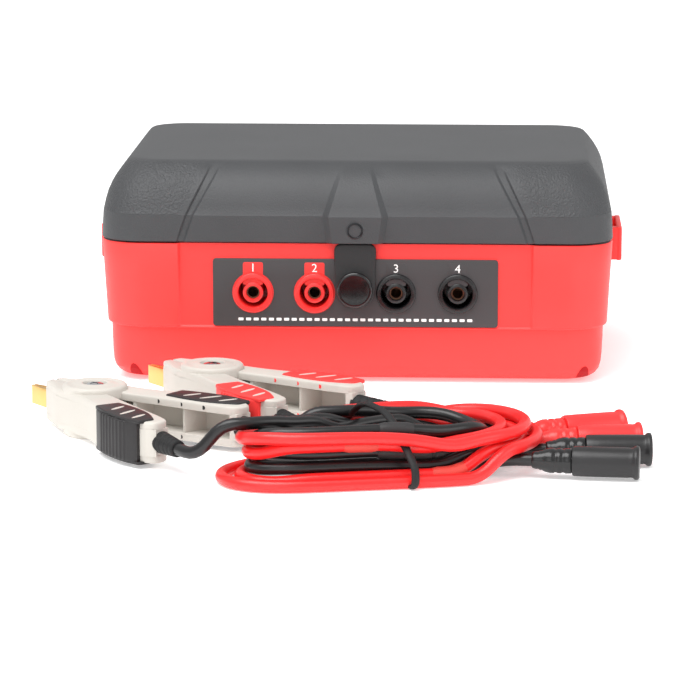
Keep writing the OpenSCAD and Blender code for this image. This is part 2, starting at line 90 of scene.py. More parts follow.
def newFinish(name):
    finish = bpy.data.materials.new(name)
    finish.use_nodes = True
    return finish, finish.node_tree.nodes, finish.node_tree.links


def addNode(tree, kind, **values):
    made = tree.new(kind)
    for key, value in values.items():
        if hasattr(made, key) and key not in made.inputs:
            setattr(made, key, value)
        else:
            made.inputs[key].default_value = value
    return made


def mouldedFinish(name, colour, rough=0.45, grain=1400, depth=0.12, patch=0.05, sheen=0.5,
                  metal=0.0, coat=0.0, coarse=None, coarseDepth=0.0, mark=None):
    # Fine mould grain as bump, slow colour drift, and roughness that varies a little.
    # Where the piece has a "mark" attribute, a second and coarser grain is added there.
    finish, tree, links = newFinish(name)
    shader = tree["Principled BSDF"]
    shader.inputs["Metallic"].default_value = metal
    shader.inputs["Specular IOR Level"].default_value = sheen
    shader.inputs["Coat Weight"].default_value = coat
    place = addNode(tree, "ShaderNodeTexCoord")
    drift = addNode(tree, "ShaderNodeTexNoise", Scale=38.0, Detail=3.0)
    links.new(place.outputs["Object"], drift.inputs["Vector"])
    tint = addNode(tree, "ShaderNodeValToRGB")
    dark = [c * (1 - patch) for c in colour[:3]]
    light = [min(1.0, c * (1 + patch)) for c in colour[:3]]
    tint.color_ramp.elements[0].position = 0.3
    tint.color_ramp.elements[0].color = (*dark, 1)
    tint.color_ramp.elements[1].position = 0.7
    tint.color_ramp.elements[1].color = (*light, 1)
    links.new(drift.outputs["Fac"], tint.inputs["Fac"])
    links.new(tint.outputs["Color"], shader.inputs["Base Color"])
    fine = addNode(tree, "ShaderNodeTexNoise", Scale=float(grain), Detail=2.0)
    links.new(place.outputs["Object"], fine.inputs["Vector"])
    gloss = addNode(tree, "ShaderNodeMapRange")
    gloss.inputs["To Min"].default_value = max(0.02, rough - 0.06)
    gloss.inputs["To Max"].default_value = min(1.0, rough + 0.06)
    links.new(fine.outputs["Fac"], gloss.inputs["Value"])
    links.new(gloss.outputs["Result"], shader.inputs["Roughness"])
    bump = addNode(tree, "ShaderNodeBump", Strength=depth, Distance=0.0003)
    links.new(fine.outputs["Fac"], bump.inputs["Height"])
    last = bump
    if coarse:
        pebble = addNode(tree, "ShaderNodeTexNoise", Scale=float(coarse), Detail=1.0)
        links.new(place.outputs["Object"], pebble.inputs["Vector"])
        height = pebble.outputs["Fac"]
        if mark:
            area = addNode(tree, "ShaderNodeAttribute", attribute_name=mark)
            times = addNode(tree, "ShaderNodeMath", operation="MULTIPLY")
            links.new(pebble.outputs["Fac"], times.inputs[0])
            links.new(area.outputs["Fac"], times.inputs[1])
            height = times.outputs["Value"]
        second = addNode(tree, "ShaderNodeBump", Strength=coarseDepth, Distance=0.0005)
        links.new(height, second.inputs["Height"])
        links.new(bump.outputs["Normal"], second.inputs["Normal"])
        last = second
    links.new(last.outputs["Normal"], shader.inputs["Normal"])
    return finish


def brushedFinish(name, colour, rough=0.25, depth=0.05):
    # metal with a shallow grain and a slow drift of colour
    return mouldedFinish(name, colour, rough, 900, depth, 0.08, metal=1.0)


def glassFinish(name, colour, rough=0.05, clear=0.55):
    finish, tree, links = newFinish(name)
    shader = tree["Principled BSDF"]
    shader.inputs["Transmission Weight"].default_value = clear
    shader.inputs["IOR"].default_value = 1.49
    shader.inputs["Specular IOR Level"].default_value = 0.6
    place = addNode(tree, "ShaderNodeTexCoord")
    haze = addNode(tree, "ShaderNodeTexNoise", Scale=60.0, Detail=2.0)
    links.new(place.outputs["Object"], haze.inputs["Vector"])
    tint = addNode(tree, "ShaderNodeValToRGB")
    tint.color_ramp.elements[0].color = (*[c * 0.95 for c in colour[:3]], 1)
    tint.color_ramp.elements[1].color = colour
    links.new(haze.outputs["Fac"], tint.inputs["Fac"])
    links.new(tint.outputs["Color"], shader.inputs["Base Color"])
    gloss = addNode(tree, "ShaderNodeMapRange")
    gloss.inputs["To Min"].default_value = rough
    gloss.inputs["To Max"].default_value = rough + 0.05
    links.new(haze.outputs["Fac"], gloss.inputs["Value"])
    links.new(gloss.outputs["Result"], shader.inputs["Roughness"])
    return finish


redCase = mouldedFinish("redCase", colourOf(250, 58, 55), 0.42, 1500, 0.10, 0.03, 0.45)
# darker red: painted shade of the pointed pockets in the bottom corners
redShadow = mouldedFinish("redShadow", colourOf(168, 16, 22), 0.6, 1500, 0.1, 0.08, 0.2)
greyLid = mouldedFinish("greyLid", colourOf(60, 61, 63), 0.5, 1700, 0.35, 0.06, 0.45,
                        coarse=1150, coarseDepth=0.9, mark="coarse")
latchNylon = mouldedFinish("latchNylon", colourOf(36, 36, 37), 0.55, 2200, 0.4, 0.1, 0.4)
buttonGloss = mouldedFinish("buttonGloss", colourOf(14, 14, 15), 0.16, 900, 0.02, 0.1, 0.6)
plateGrey = mouldedFinish("plateGrey", colourOf(62, 60, 61), 0.38, 1200, 0.08, 0.04, 0.4)
socketRed = mouldedFinish("socketRed", colourOf(228, 46, 44), 0.3, 900, 0.05, 0.04)
socketBlack = mouldedFinish("socketBlack", colourOf(18, 18, 19), 0.25, 900, 0.05, 0.1)
labelRed = mouldedFinish("labelRed", colourOf(226, 50, 46), 0.45, 900, 0.04, 0.03)
printWhite = mouldedFinish("printWhite", colourOf(236, 236, 234), 0.5, 900, 0.03, 0.02)
blackRubber = mouldedFinish("blackRubber", colourOf(28, 28, 29), 0.62, 1800, 0.3, 0.12, 0.35)
brightSteel = brushedFinish("brightSteel", colourOf(205, 206, 208), 0.22)
darkMetal = brushedFinish("darkMetal", colourOf(60, 61, 63), 0.3)
goldPlate = brushedFinish("goldPlate", colourOf(232, 190, 118), 0.34, 0.2)
# socket contacts: brass tone darkened to dark brown, painted shade of the deep socket bores
brassWithBoreShade = brushedFinish("brassWithBoreShade", colourOf(104, 78, 62), 0.4, 0.1)
clipGrey = mouldedFinish("clipGrey", colourOf(198, 193, 185), 0.48, 1500, 0.2, 0.03, 0.4)
gripRed = mouldedFinish("gripRed", colourOf(250, 62, 60), 0.5, 1500, 0.18, 0.04, 0.4)
gripBlack = mouldedFinish("gripBlack", colourOf(36, 34, 35), 0.5, 1500, 0.2, 0.08, 0.4)
leadRed = mouldedFinish("leadRed", colourOf(236, 34, 34), 0.32, 700, 0.06, 0.05, 0.5)
leadBlack = mouldedFinish("leadBlack", colourOf(20, 19, 20), 0.3, 700, 0.06, 0.12, 0.5)
capRed = mouldedFinish("capRed", colourOf(238, 50, 50), 0.4, 900, 0.1, 0.05, 0.45)
capBlack = mouldedFinish("capBlack", colourOf(30, 29, 30), 0.38, 900, 0.12, 0.1, 0.45)
sleeveRed = mouldedFinish("sleeveRed", colourOf(214, 72, 62), 0.5, 900, 0.2, 0.05, 0.4)
sleeveBlack = mouldedFinish("sleeveBlack", colourOf(44, 42, 43), 0.5, 900, 0.2, 0.08, 0.4)
jointBlack = mouldedFinish("jointBlack", colourOf(48, 46, 46), 0.5, 1100, 0.25, 0.1, 0.4)
panelGrey = mouldedFinish("panelGrey", colourOf(58, 59, 62), 0.5, 1600, 0.3, 0.05, 0.4)
keyRed = mouldedFinish("keyRed", colourOf(205, 52, 45), 0.45, 1200, 0.15, 0.04)
keyGrey = mouldedFinish("keyGrey", colourOf(142, 144, 148), 0.45, 1200, 0.15, 0.04)
circuitGreen = mouldedFinish("circuitGreen", colourOf(34, 98, 58), 0.35, 500, 0.1, 0.15)
cellJacket = mouldedFinish("cellJacket", colourOf(96, 100, 108), 0.3, 500, 0.05, 0.1)
windowClear = glassFinish("windowClear", colourOf(214, 224, 226), 0.04, 0.9)
lcdGlass = mouldedFinish("lcdGlass", colourOf(152, 168, 146), 0.3, 700, 0.04, 0.04)
lcdInk = mouldedFinish("lcdInk", colourOf(34, 40, 36), 0.4, 700, 0.04, 0.05)
print("finishes ready")

# ---- shapes that repeat ----


def putMesh(name, points, faces, finish, sharp=32, marks=None):
    # points in mm and faces become one closed mesh, its doubles merged and its normals turned outwards
    mesh = bpy.data.meshes.new(name)
    mesh.from_pydata((np.asarray(points, float) * mm).tolist(), [], [list(f) for f in faces])
    if marks is not None:
        mesh.attributes.new("coarse", "FLOAT", "POINT").data.foreach_set("value", marks.astype(np.float32))
    work = bmesh.new()
    work.from_mesh(mesh)
    bmesh.ops.remove_doubles(work, verts=work.verts, dist=1e-6)
    bmesh.ops.dissolve_degenerate(work, edges=work.edges, dist=1e-6)
    bmesh.ops.recalc_face_normals(work, faces=work.faces)
    work.to_mesh(mesh)
    work.free()
    mesh.shade_smooth()
    mesh.set_sharp_from_angle(angle=math.radians(sharp))
    piece = bpy.data.objects.new(name, mesh)
    bpy.context.scene.collection.objects.link(piece)
    for one in (finish if isinstance(finish, list) else [finish]):
        mesh.materials.append(one)
    return piece


def gridFaces(rows, columns, first=0, wrap=True):
    # each cell of a grid of points becomes a quad; wrap joins the last column to the first
    r, c = np.meshgrid(np.arange(rows - 1), np.arange(columns if wrap else columns - 1), indexing="ij")
    r, c = r.ravel(), c.ravel()
    n = (c + 1) % columns
    return (first + np.stack([r * columns + c, r * columns + n,
                              (r + 1) * columns + n, (r + 1) * columns + c], 1)).tolist()


def ringSolid(rings, first=0):
    # rings of points, one over the other, closed by a face at each end
    rows, columns = rings.shape[:2]
    faces = gridFaces(rows, columns, first)
    faces.append(list(range(first + columns - 1, first - 1, -1)))
    faces.append(list(range(first + (rows - 1) * columns, first + rows * columns)))
    return rings.reshape(-1, 3), faces


def joinSolids(solids):
    points, faces, count = [], [], 0
    for pts, fcs in solids:
        points.append(pts)
        faces.extend([[i + count for i in f] for f in fcs])
        count += len(pts)
    return np.concatenate(points), faces


def unit(vectors):
    return vectors / np.maximum(np.linalg.norm(vectors, axis=-1, keepdims=True), 1e-12)


def roundCorners(corners, radius, steps=4, closed=True):
    # each corner becomes a short curve that starts and ends radius away along its two sides
    corners = np.asarray(corners, float)
    back = np.roll(corners, 1, 0) - corners
    ahead = np.roll(corners, -1, 0) - corners
    backLen = np.linalg.norm(back, axis=1)
    aheadLen = np.linalg.norm(ahead, axis=1)
    cut = np.minimum(np.broadcast_to(radius, backLen.shape), 0.48 * np.minimum(backLen, aheadLen)).copy()
    if not closed:
        cut[[0, -1]] = 0
    start = corners + unit(back) * cut[:, None]
    end = corners + unit(ahead) * cut[:, None]
    t = np.linspace(0, 1, steps + 1)[None, :, None]
    curve = (1 - t) ** 2 * start[:, None] + 2 * t * (1 - t) * corners[:, None] + t ** 2 * end[:, None]
    curve = curve.reshape(-1, 2)
    if not closed:
        curve = curve[steps:-steps]
    return curve


def roundedBox(halfX, halfY, radius, steps=6):
    a = np.radians(np.linspace(0, 90, steps + 1))
    parts = [(1, 1, 0), (-1, 1, 90), (-1, -1, 180), (1, -1, 270)]
    return np.concatenate([np.stack([
        sx * (halfX - radius) + radius * np.cos(a + math.radians(d)),
        sy * (halfY - radius) + radius * np.sin(a + math.radians(d))], 1) for sx, sy, d in parts])


def inset(outline, by):
    # outline that runs anticlockwise, moved inwards: each point along the middle of its corner,
    # by the amount over the sine of half the corner's angle
    along = unit(np.roll(outline, -1, 0) - outline)
    behind = unit(outline - np.roll(outline, 1, 0))
    middle = unit(along + behind)
    spread = np.clip((middle * along).sum(1), 0.45, 1)
    outward = np.stack([middle[:, 1], -middle[:, 0]], 1)
    return outline - outward * (by / spread)[:, None]


def barOutline(halfX, halfY, radius):
    corners = [(-halfX, -halfY), (halfX, -halfY), (halfX, halfY), (-halfX, halfY)]
    return roundCorners(corners, radius, 3)


def slabSolid(outline, low, high, lowEdge=0.3, highEdge=0.3, steps=3):
    # outline carried straight up, with a quarter-round at its lower and upper edge
    outline = np.asarray(outline, float)
    area = np.sum(outline[:, 0] * np.roll(outline[:, 1], -1) - outline[:, 1] * np.roll(outline[:, 0], -1))
    if area < 0:
        outline = outline[::-1]
    a = np.linspace(0, math.pi / 2, steps + 1)
    rings = []
    for angle in a:
        rings.append((lowEdge * (1 - math.sin(angle)), low + lowEdge * (1 - math.cos(angle))))
    for angle in a[::-1]:
        rings.append((highEdge * (1 - math.sin(angle)), high - highEdge * (1 - math.cos(angle))))
    stack = [np.column_stack([inset(outline, by), np.full(len(outline), z)]) for by, z in rings]
    return ringSolid(np.array(stack))


def spunRings(profile, sides):
    # each (radius, height) of the profile becomes a circle about Z
    profile = np.asarray(profile, float)
    a = np.linspace(0, 2 * math.pi, sides, endpoint=False)
    return np.stack([profile[:, :1] * np.cos(a), profile[:, :1] * np.sin(a),
                     np.repeat(profile[:, 1:], sides, 1)], -1)


def turnedSolid(profile, sides=64):
    # open profile spun about Z, its two ends closed by a face
    return ringSolid(spunRings(profile, sides))


def loopSolid(profile, sides=64):
    # closed profile spun about Z, for a ring with a hole through it
    rings = spunRings(profile, sides)
    rings = np.concatenate([rings, rings[:1]])
    return rings.reshape(-1, 3), gridFaces(len(rings), sides)


def cutWith(piece, solids, sharp=30):
    # takes closed solids out of a piece, then sets its sharp edges again
    cutters = []
    for k, solid in enumerate(solids):
        cutter = putMesh(f"{piece.name}Cutter{k}", *solid, piece.data.materials[0])
        cut = piece.modifiers.new("cut", "BOOLEAN")
        cut.operation, cut.solver, cut.object = "DIFFERENCE", "EXACT", cutter
        cutters.append(cutter)
    bpy.context.view_layer.update()
    shape = bpy.data.meshes.new_from_object(piece.evaluated_get(bpy.context.evaluated_depsgraph_get()))
    piece.modifiers.clear()
    piece.data = shape
    shape.set_sharp_from_angle(angle=math.radians(sharp))
    for cutter in cutters:
        bpy.data.objects.remove(cutter)


def tubeSolid(path, radii, sides=16):
    # circle carried along a path; its side vector stays level
    path = np.asarray(path, float)
    ahead = unit(np.gradient(path, axis=0))
    side = unit(np.cross(ahead, [0, 0, 1]))
    up = np.cross(side, ahead)
    a = np.linspace(0, 2 * math.pi, sides, endpoint=False)
    radii = np.broadcast_to(radii, len(path))[:, None, None]
    rings = path[:, None] + radii * (np.cos(a)[None, :, None] * side[:, None] +
                                     np.sin(a)[None, :, None] * up[:, None])
    return ringSolid(rings)


def moved(solid, change):
    return change(solid[0]), solid[1]


def onFront(x, y, z):
    # turns a solid whose height runs along Z so that its top faces -Y, and puts it there
    return lambda p: np.stack([x + p[:, 0], y - p[:, 2], z + p[:, 1]], 1)


def raisedTo(x, y, z=0):
    return lambda p: p + np.array([x, y, z])


def show(name, solid, finish, body, replaced=(), sharp=32, marks=None):
    piece = putMesh(name, solid[0], solid[1], finish, sharp, marks)
    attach(piece, body)
    if replaced:
        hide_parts(*replaced)
    return piece


# ---- leads ----

leadKit = {
    "diameter": 4.5,
    "gap": 0.25,          # least clearance between two strands
    "step": 2.0,          # spacing of the points along a lead
    "leftEnd": (-28, -243),
    "rightEnd": (36, -212),
    "rise": 4,            # half the length over which a strand climbs over another, in points
    "settle": 20,         # length over which a lead leaves its boot for the height of the pile
    "rankStep": 0.22,     # how much later each lead is laid than the one before it
    "straight": 16,       # stretch of its own lead that a strand isn't lifted over
    "plugZ": 6.2,
    "bootLength": 12,
    "outward": {"red": (-0.682, 0.731), "black": (-0.94, 0.34)},  # away from the hank, in plan
    "bendRoom": {"red": 15, "black": 28},  # stretch of a moving lead given for its bend, in mm
}
# Each lead: boot end to hank, its loops, its plug. A loop is (along, across, radius) of its
# right bend and then of its left bend, both from the hank's two centres.
leadRoutes = {
    "redMoving": {
        "start": [(-15.84, -192.57, 9.5), (-13.6, -196, 9.4), (-10.2, -198.6, 9),
                  (-5.5, -200.2, 8.6), (-0.5, -199.8, 8.2)],
        "join": [(10, -195.5)],
        "right": [(-3, 1, 27), (1, 0, 35.2)], "left": [(10, -1, 15), (5, -1, 19)],
        "leave": [(14, -190), (36, -186.5)],
        "plug": (102, -172, 22), "colour": "red"},
    "redFixed": {
        "start": [(14.57, -162.16, 9.5), (18, -164.3, 9.4), (22.5, -167.6, 9),
                  (26.5, -171.8, 8.5), (30, -178.5, 8)],
        "join": [],
        "right": [(0, 1, 32.5), (0, 0, 30.4)], "left": [(12, -1, 18.6), (7, -1, 14.8)],
        "leave": [(10, -199), (34, -199)],
        "plug": (108, -194, 8), "colour": "red"},
    "blackMoving": {
        "start": [(-55.84, -232.57, 9.5), (-53.4, -236.5, 9.4), (-50, -240.2, 9),
                  (-46, -243, 8.5), (-41.5, -244.5, 8)],
        "join": [(-24, -239), (0, -220)],
        "right": [(-13, 0, 18), (0, 0, 25.6)], "left": [(23, -1, 12.4), (7, -1, 12)],
        "leave": [(8, -212), (34, -214)],
        "plug": (111, -212, 3), "colour": "black"},
    "blackFixed": {
        "start": [(-25.43, -202.16, 9.5), (-22, -204.3, 9.4), (-17.6, -206.2, 9),
                  (-12.8, -207.4, 8.6), (-7.6, -207.4, 8.2)],
        "join": [(1, -205), (12, -200)],
        "right": [(-6, 0, 23), (-3, 0, 20.8)], "left": [(11, -1, 13), (15, -1, 13.4)],
        "leave": [(-2, -226), (20, -229), (40, -229.5)],
        "plug": (106, -234, -5), "colour": "black"},
}

leftEnd = np.array(leadKit["leftEnd"], float)
rightEnd = np.array(leadKit["rightEnd"], float)
alongHank = unit(rightEnd - leftEnd)
acrossHank = np.array([-alongHank[1], alongHank[0]])
hankLength = float(np.linalg.norm(rightEnd - leftEnd))


def onHank(s, t):
    return leftEnd + s * alongHank + t * acrossHank


def bendPoints(base, bend, fromAngle, toAngle, count=9):
    # arc of a bend, clockwise, in the hank's own directions
    along, across, radius = bend
    a = np.radians(np.linspace(fromAngle, toAngle, count))
    return np.stack([onHank(base + along + radius * math.cos(v), across + radius * math.sin(v)) for v in a])


def planRoute(route):
    # points in plan from boot to plug, and the winding count at each: 0 on the way to the plug
    points = [np.array(route["start"])[:, :2]]
    turns = len(route["right"])
    ranks = [np.full(len(route["start"]), turns + 0.9)]
    if route["join"]:
        points.append(np.array(route["join"], float))
        ranks.append(np.full(len(route["join"]), turns + 0.6))
    for k in range(turns):
        points.append(bendPoints(hankLength, route["right"][k], 78, -100, 11))
        ranks.append(np.linspace(turns - k + 0.4, turns - k, 11))
        points.append(bendPoints(0, route["left"][k], -112, -248, 9))
        ranks.append(np.linspace(turns - k - 0.2, turns - k - 0.5, 9))
    x, y, turn = route["plug"]
    way = np.array([math.cos(math.radians(turn)), math.sin(math.radians(turn))])
    points.append(np.array(route["leave"], float))
    ranks.append(np.linspace(0.4, 0.2, len(route["leave"])))
    back = np.array([50, 44, 37.6, 33])
    points.append(np.array([x, y]) - back[:, None] * way)
    ranks.append(np.linspace(0.1, 0, 4))
    return np.concatenate(points), np.concatenate(ranks)


def smoothLine(values, width):
    # running mean with its ends held
    kernel = np.ones(2 * width + 1) / (2 * width + 1)
    padded = np.pad(values, (width, width), mode="edge")
    return np.convolve(padded, kernel, mode="valid")


def smoothPlan(line, width):
    return np.stack([smoothLine(line[:, 0], width), smoothLine(line[:, 1], width)], 1)


def runAlong(points):
    # distance along a line at each of its points
    return np.concatenate([[0], np.cumsum(np.linalg.norm(np.diff(points, axis=0), axis=1))])


def evenly(points, extra, step):
    # points joined by straight lines, then cut at even steps
    length = runAlong(points)
    count = int(length[-1] / step) + 1
    at = np.linspace(0, length[-1], count)
    return np.stack([np.interp(at, length, points[:, i]) for i in range(points.shape[1])], 1), \
        np.interp(at, length, extra)


def easedRoute(route, step):
    # the plan's corners are eased by running means that leave both straight ends where they are
    plan, rank = planRoute(route)
    line, rank = evenly(plan, rank, step)
    firm = line.copy()
    for _ in range(4):
        line = smoothPlan(line, 4)
    ends = np.minimum(np.arange(len(line)), np.arange(len(line))[::-1])
    keep = np.clip(1 - ends / 10, 0, 1)[:, None]
    line = firm * keep + line * (1 - keep)
    return evenly(line, rank, step)


def stackHeights(lines, ranks, radii, floors, rise):
    # every strand lies on the floor or on the strands laid before it; each climb is spread
    # over a few points to both sides, so that it is a long low hump
    xy = np.concatenate(lines)
    owner = np.concatenate([np.full(len(l), k) for k, l in enumerate(lines)])
    place = np.concatenate([np.arange(len(l)) for l in lines])
    rank = np.concatenate(ranks)
    reach = np.concatenate(radii)
    floor = np.concatenate(floors)
    apart = np.linalg.norm(xy[:, None] - xy[None], axis=2)
    room = reach[:, None] + reach[None] + leadKit["gap"]
    along = np.abs(place[:, None] - place[None]) * leadKit["step"]
    sameStretch = (owner[:, None] == owner[None]) & (along < leadKit["straight"])
    above = (rank[:, None] > rank[None]) & (apart < room) & ~sameStretch
    lift = np.sqrt(np.maximum(room ** 2 - apart ** 2, 0))
    height = floor.copy()
    for _ in range(40):
        need = np.where(above, height[None] + lift, 0).max(1)
        height = np.maximum(floor, need)
        for k in range(len(lines)):
            part = height[owner == k]
            tops = np.max([np.roll(np.pad(part, rise, mode="edge"), s)[rise:-rise]
                           for s in range(-rise, rise + 1)], axis=0)
            height[owner == k] = smoothLine(smoothLine(tops, rise // 2), rise - rise // 2)
    return [height[owner == k] for k in range(len(lines))]


def layLeads():
    radius = leadKit["diameter"] / 2
    lines, ranks, radii, floors = [], [], [], []
    for k, route in enumerate(leadRoutes.values()):
        line, rank = easedRoute(route, leadKit["step"])
        lines.append(line)
        ranks.append(rank + leadKit["rankStep"] * k)
        radii.append(np.full(len(line), radius))
        low = np.full(len(line), radius + 0.05)
        length = np.arange(len(line)) * leadKit["step"]
        start = np.array(route["start"])
        run = runAlong(start[:, :2])
        lead = np.interp(length, run, start[:, 2], right=0)
        tail = np.interp(length[::-1], [0, 8, 26], [6.2, 6.2, 0])
        floors.append(np.maximum.reduce([low, lead, tail]))
    heights = stackHeights(lines, ranks, radii, floors, leadKit["rise"])
    paths = {}
    for name, line, height, floor in zip(leadRoutes, lines, heights, floors):
        away = np.clip(np.arange(len(line)) * leadKit["step"] / leadKit["settle"], 0, 1)
        ease = away * away * (3 - 2 * away)
        paths[name] = np.column_stack([line, floor * (1 - ease) + height * ease])
    return paths


leadPaths = layLeads()
for leadName, leadPath in leadPaths.items():
    steps = np.linalg.norm(np.diff(leadPath, axis=0), axis=1)
    print(leadName, "length", round(float(steps.sum()), 1), "mm, top", round(float(leadPath[:, 2].max()), 1))


def placedOnPlug(route):
    # turns a solid spun about Z into one that runs back from the plug's face
    x, y, turn = route["plug"]
    c, s = math.cos(math.radians(turn)), math.sin(math.radians(turn))
    return lambda p: np.stack([x - p[:, 2] * c - p[:, 0] * s, y - p[:, 2] * s + p[:, 0] * c,
                               leadKit["plugZ"] + p[:, 1]], 1)


plugShape = {
    "cap": [(0, 0), (5.2, 0), (5.85, 0.35), (6, 1), (5.85, 1.7), (5.35, 2.2), (5.2, 2.9), (5.3, 4),
            (5.32, 18), (5.25, 22.6), (5, 23.3), (4.5, 23.4), (2.3, 23.4), (2.3, 1.5), (0, 1.5)],
    "body": [(0, 23.5), (4.1, 23.5), (4.4, 23.9), (4.4, 26), (4.15, 26.3), (4.15, 27), (4.4, 27.3),
             (4.4, 28.6), (4.15, 28.9), (4.15, 29.6), (4.4, 29.9), (4.4, 31.2), (4, 33),
             (3.4, 34.2), (3.5, 34.6), (3.1, 35.4), (3.2, 35.9), (2.9, 37.2), (2.6, 37.6), (0, 37.6)],
    "pin": [(0, 4), (1.6, 4), (2, 4.8), (2, 23.5), (0, 23.5)],
}


def makePlug(name, route):
    # lathe-turned shapes: flared cap, ribbed body with a tapered tail, pin inside the cap
    red = route["colour"] == "red"
    at = placedOnPlug(route)
    body = show(name + "PlugBody", moved(turnedSolid(plugShape["body"], 48), at),
                socketRed if red else socketBlack, "lead_set",
                ["red_plugs" if red else "black_plugs"], 50)
    cap = show(name + "PlugCap", moved(turnedSolid(plugShape["cap"], 56), at),
               capRed if red else capBlack, "lead_set",
               ["red_caps" if red else "black_caps"], 50)
    pin = show(name + "PlugPin", moved(turnedSolid(plugShape["pin"], 32), at), brightSteel,
               "lead_set", ["plug_pins"], 50)
    return [body, cap, pin]


def makeBoot(name, route, body):
    # tapered sleeve with shallow rings, carried along the first stretch of its lead
    start = np.array(route["start"], float)
    way = unit(start[1] - start[0])
    way[2] = 0
    way = unit(way)
    steps = np.linspace(-leadKit["bootLength"] - 1, 1.2, 40)
    path = start[0] + steps[:, None] * way
    share = np.linspace(0, 1, 40)
    radii = 4.1 - 1.05 * share - 0.28 * (np.sin(share * 5 * 2 * math.pi) > 0.55)
    radii[[0, -1]] -= 0.3
    replaced = "fixed_boots" if body == "base" else route["colour"] + "_moving_boot"
    return show(name + "Boot", tubeSolid(path, radii, 28), blackRubber, body, [replaced], 55)


def bodyOfRoute(name, route):
    return route["colour"] + "_arm" if "Moving" in name else "base"


def makeLead(name, route, path):
    red = route["colour"] == "red"
    finish = leadRed if red else leadBlack
    pieces = makePlug(name, route)
    boot = makeBoot(name, route, bodyOfRoute(name, route))
    tubeNode = {"redMoving": "lead_tube_1", "redFixed": "lead_tube_2",
                "blackMoving": "lead_tube_3", "blackFixed": "lead_tube_4"}[name]
    if "Moving" in name:
        cordSolid = tubeSolid(path, leadKit["diameter"] / 2, 18)
        cordPiece = putMesh(name + "Lead", *cordSolid, finish, 60)
        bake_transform(cordPiece)
    else:
        curve = bpy.data.curves.new(name + "Lead", "CURVE")
        curve.dimensions = "3D"
        run = curve.splines.new("POLY")
        run.points.add(len(path) - 1)
        run.points.foreach_set("co", np.column_stack([path * mm, np.ones(len(path))]).ravel())
        curve.bevel_depth = leadKit["diameter"] / 2 * mm
        curve.bevel_resolution = 6
        curve.use_fill_caps = True
        curve.materials.append(finish)
        cordPiece = bpy.data.objects.new(name + "Lead", curve)
        bpy.context.scene.collection.objects.link(cordPiece)
        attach(cordPiece, "lead_set")
    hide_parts("lead_hank", tubeNode)
    return cordPiece


for leadName, route in leadRoutes.items():
    makeLead(leadName, route, leadPaths[leadName])


def nearestIndex(path, point, half, radius):
    # index nearest to the point in plan where the stretch of half points to both sides
    # stands a radius over the surface
    stretches = np.lib.stride_tricks.sliding_window_view(np.pad(path[:, 2], half, mode="edge"), 2 * half + 1)
    away = np.linalg.norm(path[:, :2] - np.array(point), axis=1)
    raised = stretches.min(1) > radius
    inside = (np.arange(len(path)) >= half) & (np.arange(len(path)) < len(path) - half)
    return int(np.argmin(np.where(raised & inside, away, away + 1000)))


def makeTie():
    # loop of round section round everything that passes the tie's place
    at, way = onHank(46, 0), acrossHank
    everything = np.concatenate(list(leadPaths.values()))
    off = (everything[:, :2] - at) @ alongHank
    near = everything[np.abs(off) < 4]
    across = (near[:, :2] - at) @ way
    low, high, top = across.min() - 4.1, across.max() + 4.1, near[:, 2].max() + 4.1
    loop = roundCorners([(low, 1.1), (high, 1.1), (high, 8), (high * 0.45 + low * 0.1, top),
                         (low * 0.45 + high * 0.1, top), (low, 8)], 9, 8)
    middle = np.column_stack([at + loop[:, :1] * way, loop[:, 1]])
    closed = np.concatenate([middle, middle[:2]])
    ahead = unit(np.gradient(closed, axis=0))[1:-1]
    ahead = np.roll(ahead, 1, 0)
    side = np.broadcast_to(np.array([*alongHank, 0.0]), ahead.shape)
    up = np.cross(side, ahead)
    a = np.linspace(0, 2 * math.pi, 12, endpoint=False)
    rings = middle[:, None] + 1.5 * np.cos(a)[None, :, None] * side[:, None] + \
        1.0 * np.sin(a)[None, :, None] * up[:, None]
    faces = gridFaces(len(rings) + 1, 12)
    rings = np.concatenate([rings, rings[:1]])
    return show("leadTie", (rings.reshape(-1, 3), faces), blackRubber, "lead_set",
                ["lead_tie"], 60)


def makeSleeve(name, leadName, point, finish):
    # shrunk tube round a stretch of its own lead, its ends pulled in
    length, radius = 14, 2.7
    path = leadPaths[leadName]
    half = int(length / 2 / leadKit["step"])
    middle = nearestIndex(path, point, half, radius)
    stretch = path[middle - half:middle + half + 1]
    radii = np.full(len(stretch), radius)
    radii[[0, -1]] = leadKit["diameter"] / 2 + 0.05
    return show(name, tubeSolid(stretch, radii, 24), finish, "lead_set",
                ["marker_sleeves"], 50)


def makeJoint(name, leadName, point):
    # moulded body along its lead, tapered to both ends, with a narrow groove round its middle
    path = leadPaths[leadName]
    half = 10
    middle = nearestIndex(path, point, half, 3.6)
    stretch = path[middle - half:middle + half + 1]
    share = np.linspace(-1, 1, 81)
    fine = np.stack([np.interp(share, np.linspace(-1, 1, len(stretch)), stretch[:, i]) for i in range(3)], 1)
    radii = np.interp(np.abs(share), [0, 0.03, 0.05, 0.7, 0.97, 1], [3.1, 3.1, 3.55, 3.45, 2.75, 2.3])
    return show(name, tubeSolid(fine, radii, 32), jointBlack, "lead_set",
                ["inline_joints"], 40)


makeTie()
makeSleeve("redSleeveNear", "redMoving", onHank(30, -25), sleeveRed)
makeSleeve("redSleeveFar", "redFixed", onHank(62, -29), sleeveRed)
makeSleeve("blackSleeve", "blackFixed", onHank(44, -22), sleeveBlack)
makeJoint("jointUpper", "blackFixed", onHank(60, -12))
makeJoint("jointLower", "blackMoving", onHank(56, -16))
print("leads laid")

# ---- case ----

caseKit = {
    "relief": 69.4,       # half width of the set-back middle of the front
    "reliefDepth": 1.9,
    "frontY": 72.5,       # furthest that the front stands out from the middle
}


